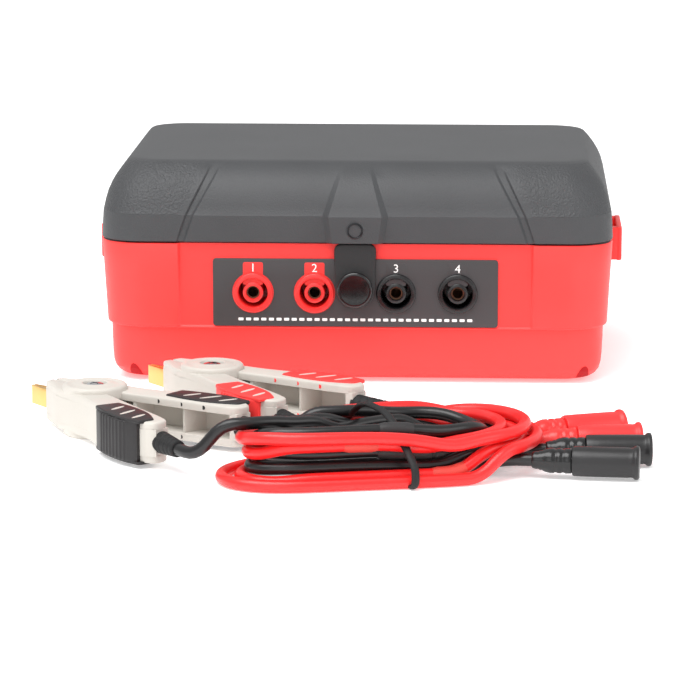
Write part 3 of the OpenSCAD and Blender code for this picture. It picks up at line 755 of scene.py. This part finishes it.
def caseRing(halfX, halfY, radius, z, keys, depths, counts):
    # one ring of the case, anticlockwise from the middle of the front: keys are the distances
    # from the middle at which the front has an edge, depths how far each stands out
    keys, depths = np.asarray(keys, float), np.asarray(depths, float)
    share = np.concatenate([np.linspace(j, j + 1, n, endpoint=False) for j, n in enumerate(counts)])
    x = np.interp(share, np.arange(len(keys)), keys)
    out = np.interp(share, np.arange(len(keys)), depths)
    halfFront = np.stack([x, -halfY - out], 1)
    a = np.radians(np.linspace(0, 90, 11))
    corner = np.stack([halfX - radius + radius * np.sin(a), -(halfY - radius) - radius * np.cos(a)], 1)
    side = np.stack([np.full(14, halfX), np.linspace(-(halfY - radius), halfY - radius, 16)[1:-1]], 1)
    rear = corner[::-1] * [1, -1]
    backHalf = np.stack([np.linspace(halfX - radius, 0, 12)[1:], np.full(11, halfY)], 1)
    right = np.concatenate([halfFront, corner, side, rear, backHalf])
    left = right[1:-1][::-1] * [-1, 1]
    ring = np.concatenate([right, left])
    return np.column_stack([ring, np.full(len(ring), z)])


baseProfile = [  # half width, half depth, corner radius, height
    (88.5, 60, 9, 1), (91.2, 62.6, 10, 1.15), (93.2, 64.6, 10.5, 1.8), (94.8, 66.3, 11.2, 3),
    (96.2, 68, 12, 5), (96.9, 69, 13, 7.4), (97.3, 69.4, 14.5, 11), (97.6, 69.7, 15.5, 17),
    (97.7, 69.8, 16, 21.9), (97.9, 70, 16, 22.3),
    (98.9, 71, 16.2, 22.6), (99.2, 71.2, 16.3, 23.2), (99.8, 71.5, 16.6, 34), (100.5, 72, 16.8, 46),
    (100.95, 72.45, 17, 55.2), (100.8, 72.3, 17, 55.8), (100.4, 71.9, 16.8, 56),
]
baseInside = [
    (98.4, 69.4, 12, 56), (98.1, 69.1, 12, 55.7), (97.6, 67.2, 11.5, 55.5), (95.8, 66.8, 11, 24),
    (94.6, 66.3, 10.5, 22), (94.4, 66, 10, 8), (91, 62.5, 9.5, 4.8), (89, 61, 9, 4.3),
]


def frontReach(ring):
    # distance from the middle at which the front turns into its corner
    return ring[0] - ring[2]


terminalKit = {
    "plate": (112, 26.9, 36.55),   # width, height, height of its middle
    "sockets": ((-40.2, "red"), (-16, "red"), (16, "black"), (40.2, "black")),
    "socketZ": 36.5,
    "boreRadius": 6.83,
    "buttonZ": 38.6,
    "stemRadius": 3.5,
    "tabHalf": 3.95,
    "tabTop": 48.6,
}


def socketBores():
    # straight holes for the four socket barrels and for the latch button's stem
    kit = terminalKit
    wide = kit["boreRadius"]
    bore = np.array([(0, 60), (wide, 60), (wide, 76), (0, 76)])
    stem = bore * [kit["stemRadius"] / wide, 1]
    holes = [moved(turnedSolid(bore, 48), onFront(x, 0, kit["socketZ"])) for x, _ in kit["sockets"]]
    return [*holes, moved(turnedSolid(stem, 32), onFront(0, 0, kit["buttonZ"]))]


def makeBase():
    # rings of the red shell: outer wall, rim, inner wall; the front's middle stands back
    kit, relief = caseKit, caseKit["relief"]
    counts = [6, 6, 2, 2, 2, 3, 4]
    rings = []
    for ring in baseProfile:
        z = ring[3]
        back = -kit["reliefDepth"] * np.interp(z, [22.35, 22.9], [0, 1])
        depth = min(back + (kit["frontY"] - ring[1]), 0) if back < 0 else 0
        keys = [0, 30, relief - 1.4, relief - 0.5, relief, relief + 0.4, 76, frontReach(ring)]
        depths = [depth, depth, depth, depth * 0.85, depth * 0.3, 0, 0, 0]
        rings.append(caseRing(*ring, keys, depths, counts))
    for ring in baseInside:
        keys = [0, 30, 60, 66, 70, 74, 78, frontReach(ring)]
        rings.append(caseRing(*ring, keys, [0] * 8, counts))
    shell = show("baseShell", ringSolid(np.array(rings)), redCase, "base", ["base_shell"], 24)
    cutWith(shell, socketBores(), 24)
    return shell


makeBase()

lidProfile = [  # half width, half depth, corner radius, height
    (100.7, 72.2, 16.5, 56.6), (101.1, 72.6, 17, 56.9), (100.95, 72.5, 17, 60), (100.7, 72.4, 17, 64),
    (100.5, 72.2, 17, 67.1), (100.45, 72.0, 17, 67.4), (99.7, 70.9, 16.8, 71), (98.7, 69.5, 16.4, 74.5),
    (97.3, 67.8, 15.9, 77.7), (95.6, 65.8, 15.2, 80.6), (93.8, 63.4, 14.4, 83.1), (92.3, 60.9, 13.6, 85),
    (91.3, 59, 13, 86.1), (90.4, 57.6, 12.6, 86.65), (89, 56, 12, 86.92), (86.5, 53.5, 11, 87),
]
lidInside = [
    (84, 51, 10, 84.2), (88.5, 56, 10.5, 84), (91.8, 60, 11, 81.5), (95, 64.6, 12, 76),
    (97.3, 68.6, 12.5, 68), (98, 69.4, 13, 57.6), (98.1, 69.5, 13, 56.8), (98.4, 69.8, 13.2, 56.5),
    (99.8, 71.3, 16, 56.45),
]
lidFeatures = [  # height, panel half width, then its bevel, then the band's inner and outer edge
    (56.5, 8.9, 11.3, 66.9, 70.6), (67.3, 10.4, 12.8, 63.2, 66.9),
    (84, 5.4, 7.0, 53.9, 58.4), (87.2, 4.9, 6.2, 52.6, 57.2),
]


def makeLid():
    # rings of the lid: the front carries a raised panel, two slanting sunk bands and a crease;
    # the coarse mark covers the fields outside the bands, above the crease
    rings, marks = [], []
    table = np.array(lidFeatures)
    counts = [5, 3, 7, 7, 1, 3, 1, 4]
    for step, ring in enumerate(lidProfile[::-1] + lidInside[::-1]):
        z = ring[3]
        outer = step < len(lidProfile)
        panel, bevel, inner, far = [float(np.interp(z, table[:, 0], table[:, i])) for i in range(1, 5)]
        raised = float(np.interp(z, [56.5, 67.3, 83.5, 86], [2.5, 2.5, 0.9, 0])) if outer else 0
        sunk = -float(np.interp(z, [56.5, 58, 84.5, 86.7], [0.7, 0.9, 0.9, 0])) if outer else 0
        keys = [0, panel, bevel, 36, inner, inner + 0.9, far - 0.9, far, frontReach(ring)]
        depths = [raised, raised, 0, 0, 0, sunk, sunk, 0, 0]
        rings.append(caseRing(*ring[:3], z, keys, depths, counts))
        x = np.abs(rings[-1][:, 0])
        field = (x > far + 0.3) & (z > 67.2) & (z < 86.5) & outer
        marks.append(np.where(field, 1.0, 0.08 if outer else 0.0))
    return show("lidShell", ringSolid(np.array(rings)), greyLid, "lid", ["lid_shell"], 20,
                marks=np.concatenate(marks))


makeLid()


def makeHingeEar(name, x, half, body, finish, low, high):
    # knuckle that widens into a flap on the case's rear
    a = np.radians(np.linspace(-100, 100, 17))
    ear = [(74.5 + 3 * math.cos(v), 56.3 + 3 * math.sin(v)) for v in a]
    outline = np.array([(69.8, low), *([(73.5, low)] if low < 53 else []), *ear,
                        *([(73.5, high)] if high > 60 else []), (69.8, high)])
    solid = slabSolid(outline, -half, half, 0.35, 0.35)
    return show(name, moved(solid, lambda p: np.stack([x + p[:, 2], p[:, 0], p[:, 1]], 1)),
                finish, body, [], 40)


for label, x in (("Left", -58), ("Right", 58)):
    makeHingeEar("lidKnuckle" + label, x, 5.6, "lid", greyLid, 53.4, 63.6)
    for part, s in (("Outer", 10), ("Inner", -10)):
        makeHingeEar(f"baseKnuckle{label}{part}", x + s, 4, "base", redCase, 48.5, 59.2)


def makeStrapLug(name, side):
    # bar held off the wall by a post at each end, in one moulded loop
    x0, y = 98.6, 16
    bar = roundCorners([(103.6, -y), (106, -y), (106, y), (103.6, y)], 1.0, 4)
    solids = [slabSolid(bar, 41, 54.8, 0.7, 0.7)]
    for s in (-1, 1):
        low, high = sorted((s * 12, s * 16))
        solids.append(slabSolid(roundCorners([(x0, low), (104.6, low), (104.6, high), (x0, high)], 0.6, 3),
                                41.2, 54.6, 0.6, 0.6))
    points, faces = joinSolids(solids)
    return show(name, (points * [side, 1, 1], faces), redCase, "base", ["strap_lugs"], 35)


makeStrapLug("strapLugRight", 1)
makeStrapLug("strapLugLeft", -1)


def makeNotch(name, middle):
    # thin dark-red sheet laid on the shell's own surface in the bottom corner: painted shade that stands for
    # a pointed pocket
    table = np.array(baseProfile)
    v = np.linspace(0, 1, 14)
    z = 1.6 + 5.6 * v
    halfX, halfY, radius = (np.interp(z, table[:, 3], table[:, i]) for i in range(3))
    half = 2.5 * np.sqrt(np.maximum(1 - v ** 1.6, 0)) + 0.02
    u = np.linspace(-1, 1, 9)
    lean = 1.2 * (1 - v) * np.sign(middle)
    x = middle - lean[:, None] + half[:, None] * u[None]
    run = np.clip(np.abs(x) - (halfX - radius)[:, None], 0, None)
    y = -((halfY - radius)[:, None] + np.sqrt(np.maximum(radius[:, None] ** 2 - run ** 2, 0)))
    top = np.stack([x, y - 0.1, np.repeat(z[:, None], 9, 1)], -1)
    under = top + [0, 0.9, 0]
    points = np.concatenate([top.reshape(-1, 3), under.reshape(-1, 3)])
    faces = gridFaces(14, 9, 0, False) + [f[::-1] for f in gridFaces(14, 9, 126, False)]
    rim = [r * 9 for r in range(14)] + [13 * 9 + c for c in range(1, 9)] + \
        [r * 9 + 8 for r in range(12, -1, -1)] + [c for c in range(7, 0, -1)]
    faces += [[rim[i], rim[(i + 1) % len(rim)], rim[(i + 1) % len(rim)] + 126, rim[i] + 126]
              for i in range(len(rim))]
    return show(name, (points, faces), redShadow, "base", [], 50)


makeNotch("notchLeft", -88)
makeNotch("notchRight", 90.5)
print("case shells made")

# ---- latch and terminals ----

def makeLatch():
    # tongue, sprung button and rivet of the latch; buttonZ is the height of the button's middle
    buttonZ = terminalKit["buttonZ"]
    tongue = roundCorners([(-8.4, 17.7), (-7.9, 6), (-8, 0), (-6.6, -5.2), (-2.6, -8), (2.6, -8),
                           (6.6, -5.2), (8, 0), (7.9, 6), (8.4, 17.7)], 3.5, 5)
    show("latchTongue", moved(slabSolid(tongue, 71.8, 73.6, 0.2, 0.6), onFront(0, 0, buttonZ)),
         latchNylon, "lid", ["latch_tongue"], 40)
    button = [(0, 1.8), (2.5, 1.8), (2.5, 5.2), (6.3, 5.2), (6.8, 5.4), (7, 6), (7, 6.9), (6.75, 7.35),
              (6.2, 7.5), (5.6, 7.42), (4, 7.3), (2, 7.22), (0, 7.2)]
    show("latchButton", moved(turnedSolid(button, 72), onFront(0, -70, buttonZ)),
         buttonGloss, "latch_knob", ["latch_button"], 50)
    rivet = [(0, 74.2), (2.3, 74.2), (2.45, 74.5), (2.5, 75.25), (2.75, 75.45), (3.1, 75.35), (3.2, 75.0),
             (3.2, 73.6), (0, 73.6)]
    show("latchRivet", moved(turnedSolid(rivet, 48), onFront(0, 0, 61.8)), darkMetal, "lid",
         ["latch_rivet"], 50)
    # thin black disc in the rivet's hollow middle: painted shade of the hollow
    hole = [(0, 74.22), (2.2, 74.22), (2.2, 74.3), (0, 74.3)]
    show("rivetShade", moved(turnedSolid(hole, 32), onFront(0, 0, 61.8)), socketBlack, "lid")


def makePlate():
    kit = terminalKit
    width, height, middle = kit["plate"]
    outline = roundedBox(width / 2, height / 2, 1.3, 5)
    plate = show("terminalPlate", moved(slabSolid(outline, 69.7, 71.4, 0.1, 0.25), onFront(0, 0, middle)),
                 plateGrey, "base", ["terminal_plate"], 35)
    cutWith(plate, socketBores(), 35)


def makeLabel(number, x, colour):
    # printed tab that runs up from the flange, with a plain numeral on it
    kit = terminalKit
    half, top = kit["tabHalf"], kit["tabTop"] - kit["socketZ"]
    tab = roundCorners([(-half, 3), (half, 3), (half, top), (-half, top)], 0.9, 4)
    ring = [(7, 71.36), (8.1, 71.36), (8.15, 71.44), (8.1, 71.5), (7, 71.5)]
    finish = labelRed if colour == "red" else plateGrey
    solids = [moved(slabSolid(tab, 71.35, 71.48, 0.02, 0.04), onFront(x, 0, kit["socketZ"])),
              moved(loopSolid(ring, 64), onFront(x, 0, kit["socketZ"]))]
    show(f"labelTab{number}", joinSolids(solids), finish, "base", [], 50)
    written = bpy.data.curves.new(f"numeral{number}", "FONT")
    written.body = str(number)
    written.size = 4.7 * mm
    written.extrude = 0.05 * mm
    written.align_x = "CENTER"
    holder = bpy.data.objects.new(f"numeralText{number}", written)
    bpy.context.scene.collection.objects.link(holder)
    bpy.context.view_layer.update()
    shape = bpy.data.meshes.new_from_object(holder.evaluated_get(bpy.context.evaluated_depsgraph_get()))
    bpy.data.objects.remove(holder)
    flat = np.array([v.co for v in shape.vertices]) / mm
    points = onFront(x, -71.5, kit["tabTop"] - 3.75)(flat)
    piece = putMesh(f"numeral{number}", points, [list(p.vertices) for p in shape.polygons], printWhite, 30)
    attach(piece, "base")


def makeSocket(number, x, colour):
    # flange, deep ring groove and centre sleeve, turned in one piece
    profile = [(2.6, -2), (2.6, 1.45), (2.75, 1.7), (3.7, 1.7), (4, 1.45), (4, -16), (5.8, -16), (5.8, 2.0),
               (6.05, 2.3), (7.3, 2.3), (7.65, 2.15), (7.8, 1.8), (7.8, 1.1), (6.8, 1.05), (6.8, -18),
               (2.6, -18)]
    red = colour == "red"
    show(f"socket{number}", moved(loopSolid(profile, 72), onFront(x, -70.3, terminalKit["socketZ"])),
         socketRed if red else socketBlack, "base",
         ["red_sockets" if red else "black_sockets"], 50)


def makeRule():
    # plain printed rule of short bars along the plate's lower edge
    bars = []
    for k in range(31):
        at = -45 + 3 * k
        bar = roundCorners([(at - 1, -0.55), (at + 1, -0.55), (at + 1, 0.55), (at - 1, 0.55)], 0.3, 3)
        bars.append(moved(slabSolid(bar, 71.38, 71.44, 0.01, 0.02), onFront(0, 0, 25.9)))
    show("plateRule", joinSolids(bars), printWhite, "base", [], 50)


makeLatch()
makePlate()
for number, (x, colour) in enumerate(terminalKit["sockets"], 1):
    makeLabel(number, x, colour)
    makeSocket(number, x, colour)
makeRule()
print("latch and terminals made")

# ---- clips ----

clipKit = {
    "red": (-52, -126),
    "black": (-92, -166),
    "turn": 135,
    "outer": [(24, 4.2), (16, 7.5), (9, 11), (-4, 12.5), (-14, 14.6), (-24, 18.4), (-36, 22.6), (-48, 25),
              (-57, 24.6), (-62, 22)],
    "inner": [(-61, 15.5), (-52, 12.6), (-38, 9.4), (-24, 6), (-12.6, 3), (12.4, 0.35), (24, 0.35)],
    "low": 2, "high": 17, "skin": 2.6,
    "channel": (4.6, 14.4),  # heights between which the wall and the blocks join the cheeks
    "blocks": [[(-61.4, 16), (-58.6, 15), (-58.6, 24), (-61.4, 22.4)],  # closed end
               [(-39.2, 10.2), (-37.8, 10.6), (-37.8, 21), (-39.2, 21.5)],  # cross rib
               [(-18, 5), (-16.6, 4.6), (-16.6, 14.5), (-18, 15)],  # cross rib
               [(23.6, 0.4), (23.6, 4.1), (11, 9.6), (11, 0.4)]],  # nose
}


def clipPlace(colour):
    x, y = clipKit[colour]
    c, s = math.cos(math.radians(clipKit["turn"])), math.sin(math.radians(clipKit["turn"]))
    return lambda p: np.stack([x + p[:, 0] * c - p[:, 1] * s, y + p[:, 0] * s + p[:, 1] * c, p[:, 2]], 1)


def sided(points, side):
    return np.asarray(points, float) * [1, side]


def handleWall(side):
    # outer wall of the handle's channel, as thick as the skin all along
    outer = np.array(clipKit["outer"])
    ahead = unit(np.gradient(outer, axis=0))
    inwards = np.stack([-ahead[:, 1], ahead[:, 0]], 1)
    inner = outer + inwards * clipKit["skin"]
    return sided(np.concatenate([outer, inner[::-1]]), side)


def halfSolid(side, hubLow, hubHigh):
    # two cheeks, the outer wall between them, the closed end, two cross ribs and the nose
    outline = np.array(clipKit["outer"] + clipKit["inner"])
    cheek = roundCorners(outline, [0.6, 3, 3, 5, 6, 6, 8, 8, 4, 3, 3, 5, 6, 6, 3, 1, 0.2], 4)
    cheek = sided(cheek, side)
    solids = [slabSolid(cheek, 14, clipKit["high"], 0.2, 0.9, 4),
              slabSolid(cheek, clipKit["low"], 5, 0.9, 0.2, 4),
              slabSolid(handleWall(side), *clipKit["channel"], 0.05, 0.05, 1)]
    for block in clipKit["blocks"]:
        solids.append(slabSolid(sided(block, side), *clipKit["channel"], 0.1, 0.1, 1))
    hub = [(0, hubLow), (11.2, hubLow), (11.7, hubLow + 0.5), (11.7, hubHigh - 0.5),
           (11.2, hubHigh), (0, hubHigh)]
    solids.append(turnedSolid(hub, 64))
    return joinSolids(solids)


def hubDome():
    # round cheek of the pivot: rolled edge, shallow dish and a rim round the screw's well
    return [(0, 14.2), (11.4, 14.2), (12, 14.8), (12, 17.6), (11.85, 18.3), (11.4, 18.8), (10.6, 19),
            (9.6, 18.95), (9.0, 18.7), (8.2, 18.75), (6.2, 19.2), (5.1, 19.35), (4.6, 19.2),
            (4.4, 18.8), (4.3, 17.6), (0, 17.6)]


def screwHead():
    # pan head in the well; the cross is cut into it
    return [(0, 17.5), (3.6, 17.5), (3.75, 17.8), (3.6, 18.4), (3, 18.9), (1.8, 19.15), (0, 19.2)]


def jawSolid(side):
    # tapered jaw with saw teeth along its biting edge
    teeth = 12
    along = np.linspace(15, 36.6, 2 * teeth + 1)
    bite = np.where(np.arange(2 * teeth + 1) % 2 == 0, 0.15, 0.62)
    lower = np.stack([along, bite], 1)
    back = np.array([(37, 0.3), (37, 0.95), (36.2, 1.25), (24, 2.9), (14, 2.9), (14, 0.4)])
    return slabSolid(sided(np.concatenate([lower, back]), side), 6, 13, 0.12, 0.12, 2)


def gripSolid(side):
    # soft overmould: a ribbed pad down the outer side and a shaped pad on each cheek
    outer = np.array([(-26.5, 19.9), (-36, 23.2), (-48, 25.6), (-57, 25.2)])
    share = np.linspace(0, 1, 121)
    run = np.linspace(0, 3, 121)
    line = np.stack([np.interp(run, np.arange(4), outer[:, 0]), np.interp(run, np.arange(4), outer[:, 1])], 1)
    for _ in range(2):
        line = smoothPlan(line, 8)
    ribs = np.clip((share - 0.2) / 0.08, 0, 1) * np.clip((0.82 - share) / 0.08, 0, 1)
    wave = 0.32 * ribs * np.maximum(np.sin(share * 2 * math.pi * 15), 0)
    swell = 1.9 * np.sin(np.clip(share, 0.03, 0.97) * math.pi) ** 0.35
    ahead = unit(np.gradient(line, axis=0))
    out = np.stack([ahead[:, 1], -ahead[:, 0]], 1)
    swollen = line + out * (swell + wave)[:, None]
    buried = line - out * 1.3
    edge = sided(np.concatenate([swollen, buried[::-1]]), side)
    corners = [(-27.5, 10.8), (-25.6, 20.4), (-36, 24.4), (-48, 26.8), (-57.4, 26.3), (-58.2, 19.6),
               (-50, 14.6), (-39, 11.6)]
    pad = sided(roundCorners(corners, [1, 1.2, 6, 6, 1.2, 1.6, 8, 8], 5), side)
    return joinSolids([slabSolid(edge, 2.2, 16.8, 0.7, 0.7, 3), slabSolid(pad, 16.4, 17.55, 0.05, 0.45, 3),
                       slabSolid(pad, 1.45, 2.6, 0.45, 0.05, 3)])


def windowSolids(side):
    # three lens-shaped windows across the pad, where the hard handle shows through
    solids = []
    t = np.linspace(0, math.pi, 9)
    for x, y, long in ((-35, 17.4, 3.7), (-43, 19.4, 4.5), (-51, 20.9, 3.9)):
        lens = np.concatenate([np.stack([-0.85 * np.sin(t), long * np.cos(t)], 1),
                               np.stack([0.85 * np.sin(t), -long * np.cos(t)], 1)[1:-1]])
        lean = math.radians(14)
        turned = lens @ np.array([[math.cos(lean), math.sin(lean)], [-math.sin(lean), math.cos(lean)]])
        for low, high in ((17.4, 17.64), (1.36, 1.6)):
            solids.append(slabSolid(sided(turned + [x, y], side), low, high, 0.02, 0.03, 1))
    return joinSolids(solids)


def rivetDots(side):
    # ends of the grip's locking pegs, seen on the channel's inner edges
    solids = []
    for x, y in ((-28, 7.05), (-38, 9.5), (-48, 11.7)):
        for z in (3.5, 15.5):
            path = np.array([(x, y - 0.12, z), (x - 0.02, y + 0.6, z)])
            solids.append(tubeSolid(path * [1, side, 1], 0.75, 16))
    return joinSolids(solids)


def makeClip(colour):
    at = clipPlace(colour)
    grip, gripSlot = (gripRed, "red_grip") if colour == "red" else (gripBlack, "black_grip")
    for part, side, body in (("Fixed", -1, "base"), ("Moving", 1, colour + "_arm")):
        kind = "body" if part == "Fixed" else "arm"
        low, high = (14.6, 14.8) if part == "Fixed" else (5.2, 13.8)
        shell = halfSolid(side, low, high)
        name = colour + part
        show(name + "Handle", moved(shell, at), clipGrey, body, [f"{colour}_clip_{kind}"], 35)
        show(name + "Jaw", moved(jawSolid(side), at), goldPlate, body,
             [f"{colour}_{part.lower()}_jaw"], 30)
        show(name + "Grip", moved(gripSolid(side), at), grip, body,
             [f"{colour}_{part.lower()}_grip"], 40)
        show(name + "Windows", moved(windowSolids(side), at), clipGrey, body, [], 40)
        show(name + "Pegs", moved(rivetDots(side), at), grip, body, [], 40)
    dome = turnedSolid(hubDome(), 80)
    under = (dome[0] * [1, 1, -1] + [0, 0, 19], dome[1])
    show(colour + "Hub", moved(joinSolids([dome, under]), at), clipGrey, "base", [], 40)
    screw = show(colour + "Screw", moved(turnedSolid(screwHead(), 48), at), brightSteel, "base",
                 ["pivot_screws"], 40)
    cross = [(-2.2, -0.42), (2.2, -0.42), (2.2, 0.42), (-2.2, 0.42)]
    cutWith(screw, [moved(slabSolid(cross, 18.2, 20, 0.05, 0.05, 1), at),
                    moved(slabSolid(np.array(cross)[:, ::-1], 18.2, 20, 0.05, 0.05, 1), at)], 35)


makeClip("red")
makeClip("black")
print("clips made")

# ---- under the lid ----

panelKit = {
    "keys": (("powerKey", -66, "power_key", keyRed, "red_key"),
             ("rangeKey", -39, "range_key", keyGrey, "grey_key"),
             ("holdKey", -12, "hold_key", keyGrey, "grey_key"),
             ("lightKey", 15, "light_key", keyGrey, "grey_key")),
    "keyY": -32,
    "test": (62, -32),
    "display": (0, 20),
}


def makePanel():
    # moulded panel with a stepped frame round the display and a well round each key
    onDisplay = raisedTo(*panelKit["display"])
    plate = slabSolid(roundedBox(96.8, 66.7, 10.5, 8), 50.5, 53, 0.2, 0.5)
    panel = show("frontPanel", plate, panelGrey, "base", ["front_panel"], 35)
    cuts = [moved(slabSolid(roundedBox(42, 22, 3, 6), 48, 56, 0.1, 0.1, 1), onDisplay)]
    well = slabSolid(roundedBox(9.4, 5.9, 3.4, 6), 48, 56, 0.1, 0.1, 1)
    for _, x, _, _, _ in panelKit["keys"]:
        cuts.append(moved(well, raisedTo(x, panelKit["keyY"])))
    testWell = turnedSolid([(0, 48), (9.4, 48), (9.4, 56), (0, 56)], 48)
    cuts.append(moved(testWell, raisedTo(*panelKit["test"])))
    cutWith(panel, cuts, 35)
    frameOuter = roundedBox(46.5, 26.5, 4.5, 8)
    frameRing = show("displayFrame", moved(slabSolid(frameOuter, 52.9, 54.1, 0.1, 0.7), onDisplay),
                     plateGrey, "base", [], 35)
    cutWith(frameRing, [moved(slabSolid(roundedBox(42, 22, 3, 6), 50, 58, 0.1, 0.1, 1), onDisplay)], 35)
    mark = slabSolid(barOutline(2.2, 0.4, 0.35), 52.98, 53.08, 0.01, 0.02)
    for number, (_, x, _, _, _) in enumerate(panelKit["keys"], 1):
        show(f"keyRule{number}", moved(mark, raisedTo(x, panelKit["keyY"] + 9)), printWhite, "base",
             [], 40)


def makeKeys():
    # four sprung keys and the round test button, each with a collar under the panel
    for name, x, body, finish, slotName in panelKit["keys"]:
        at = raisedTo(x, panelKit["keyY"])
        cap = slabSolid(roundedBox(9, 5.5, 3, 8), 48.5, 54.7, 0.2, 0.9, 5)
        collar = slabSolid(roundedBox(10.5, 7, 4, 8), 48.5, 49.9, 0.1, 0.2)
        show(name, moved(joinSolids([cap, collar]), at), finish, body, [body], 40)
        ridge = slabSolid(barOutline(3, 0.35, 0.3), 54.6, 54.85, 0.02, 0.08)
        show(name + "Mark", moved(ridge, at), printWhite, body, [], 40)
    x, y = panelKit["test"]
    button = [(0, 48.5), (10.5, 48.5), (10.5, 49.9), (9, 49.9), (9, 54.2), (8.6, 54.9), (7.8, 55.1),
              (6.4, 54.95), (3, 54.5), (0, 54.4)]
    show("testButton", moved(turnedSolid(button, 64), raisedTo(x, y)), keyRed, "test_button",
         ["test_button"], 45)


def makeDisplay():
    # reading of four seven-segment numerals, a bar scale under it
    onDisplay = raisedTo(*panelKit["display"])
    window = slabSolid(roundedBox(41.8, 21.8, 2.8, 6), 51.1, 52.7, 0.1, 0.3)
    show("displayWindow", moved(window, onDisplay), windowClear, "base",
         ["display_window"], 35)
    face = slabSolid(roundedBox(46, 26, 2, 5), 43.9, 50.1, 0.3, 0.3)
    show("displayModule", moved(face, onDisplay), lcdGlass, "base", ["display_module"], 35)
    strokes = {"a": (0, 8, 0), "b": (4, 4, 90), "c": (4, -4, 90), "d": (0, -8, 0), "e": (-4, -4, 90),
               "f": (-4, 4, 90), "g": (0, 0, 0)}
    lit = {0: "abcdef", 1: "bc", 2: "abged", 5: "afgcd"}
    solids = []
    for place, digit in enumerate((0, 1, 2, 5)):
        for stroke in lit[digit]:
            x, y, turn = strokes[stroke]
            bar = np.array([(-3.1, 0), (-2.5, 0.7), (2.5, 0.7), (3.1, 0), (2.5, -0.7), (-2.5, -0.7)])[::-1]
            bar = bar[:, ::-1] if turn else bar
            stroked = slabSolid(bar + [x, y], 50.1, 50.22, 0.01, 0.01, 1)
            solids.append(moved(stroked, raisedTo(-24 + 15 * place, 22)))
    for k in range(24):
        tick = 1.0 if k % 4 else 2.0
        box = [(-0.3, 0), (0.3, 0), (0.3, tick), (-0.3, tick)]
        solids.append(moved(slabSolid(box, 50.1, 50.2, 0.01, 0.01, 1), raisedTo(-34.5 + 3 * k, 4.5)))
    show("displayReading", joinSolids(solids), lcdInk, "base", [], 40)


makePanel()
makeKeys()
makeDisplay()

# CAD parts whose shape stands as it is, each given its finish
cadFinishes = {
    "lid_gasket": blackRubber, "hinge_pins": brightSteel, "socket_contacts": brassWithBoreShade,
    "socket_nuts": brightSteel, "main_board": circuitGreen, "buzzer": socketBlack,
    "power_module": plateGrey, "battery_tray": panelGrey, "battery_cells": cellJacket,
    "battery_door": panelGrey, "case_screws": brightSteel, "feet": blackRubber,
    "clip_springs": brightSteel,
}
for node, finish in cadFinishes.items():
    for socket in nodes[node].material_slots:
        socket.material = finish
print("inner panel made")

# ---- studio ----

studio = {"floor": 6000, "key": 1.45, "fill": 0.6, "front": 0.35, "sky": 0.72, "glow": 0.35}


def makeFloor():
    half = studio["floor"] / 2
    u = np.linspace(-half, half, 9)
    grid = np.stack([*np.meshgrid(u, u), np.full((9, 9), -0.05)], -1)
    piece = putMesh("studioFloor", grid.reshape(-1, 3), gridFaces(9, 9, 0, False), floorFinish)


def addLight(name, spot, aim, width, power):
    data = bpy.data.lights.new(name, "AREA")
    data.energy = power
    data.shape = "RECTANGLE"
    data.size, data.size_y = width, width * 0.7
    light = bpy.data.objects.new(name, data)
    light.location = spot
    away = np.array(spot) - np.array(aim)
    light.rotation_euler = (math.atan2(math.hypot(away[0], away[1]), away[2]), 0,
                            math.atan2(away[0], -away[1]))
    bpy.context.scene.collection.objects.link(light)


floorFinish = mouldedFinish("floorFinish", colourOf(252, 252, 252), 0.7, 60, 0.01, 0.004, 0.1)
floorShader = floorFinish.node_tree.nodes["Principled BSDF"]
floorShader.inputs["Emission Color"].default_value = (1, 1, 1, 1)
floorShader.inputs["Emission Strength"].default_value = studio["glow"]
makeFloor()
world = bpy.data.worlds.new("studioSky")
bpy.context.scene.world = world
world.use_nodes = True
skyLight = world.node_tree.nodes["Background"]
skyLight.inputs["Color"].default_value = (1, 1, 1, 1)
skyLight.inputs["Strength"].default_value = studio["sky"]
backdrop = addNode(world.node_tree.nodes, "ShaderNodeBackground", Color=(1, 1, 1, 1), Strength=1.0)
seen = addNode(world.node_tree.nodes, "ShaderNodeLightPath")
either = addNode(world.node_tree.nodes, "ShaderNodeMixShader")
wires = world.node_tree.links
wires.new(seen.outputs["Is Camera Ray"], either.inputs[0])
wires.new(skyLight.outputs[0], either.inputs[1])
wires.new(backdrop.outputs[0], either.inputs[2])
wires.new(either.outputs[0], world.node_tree.nodes["World Output"].inputs["Surface"])
addLight("keyAbove", (-0.35, -0.55, 1.1), (0, 0, 0.03), 1.1, 10 * studio["key"])
addLight("fillRight", (1.0, -0.6, 0.6), (0, 0, 0.04), 0.9, 5 * studio["fill"])
addLight("frontSoft", (-0.3, -1.4, 0.45), (0, 0, 0.04), 0.9, 6 * studio["front"])
bpy.context.scene.view_settings.view_transform = "Standard"
print("studio lit")
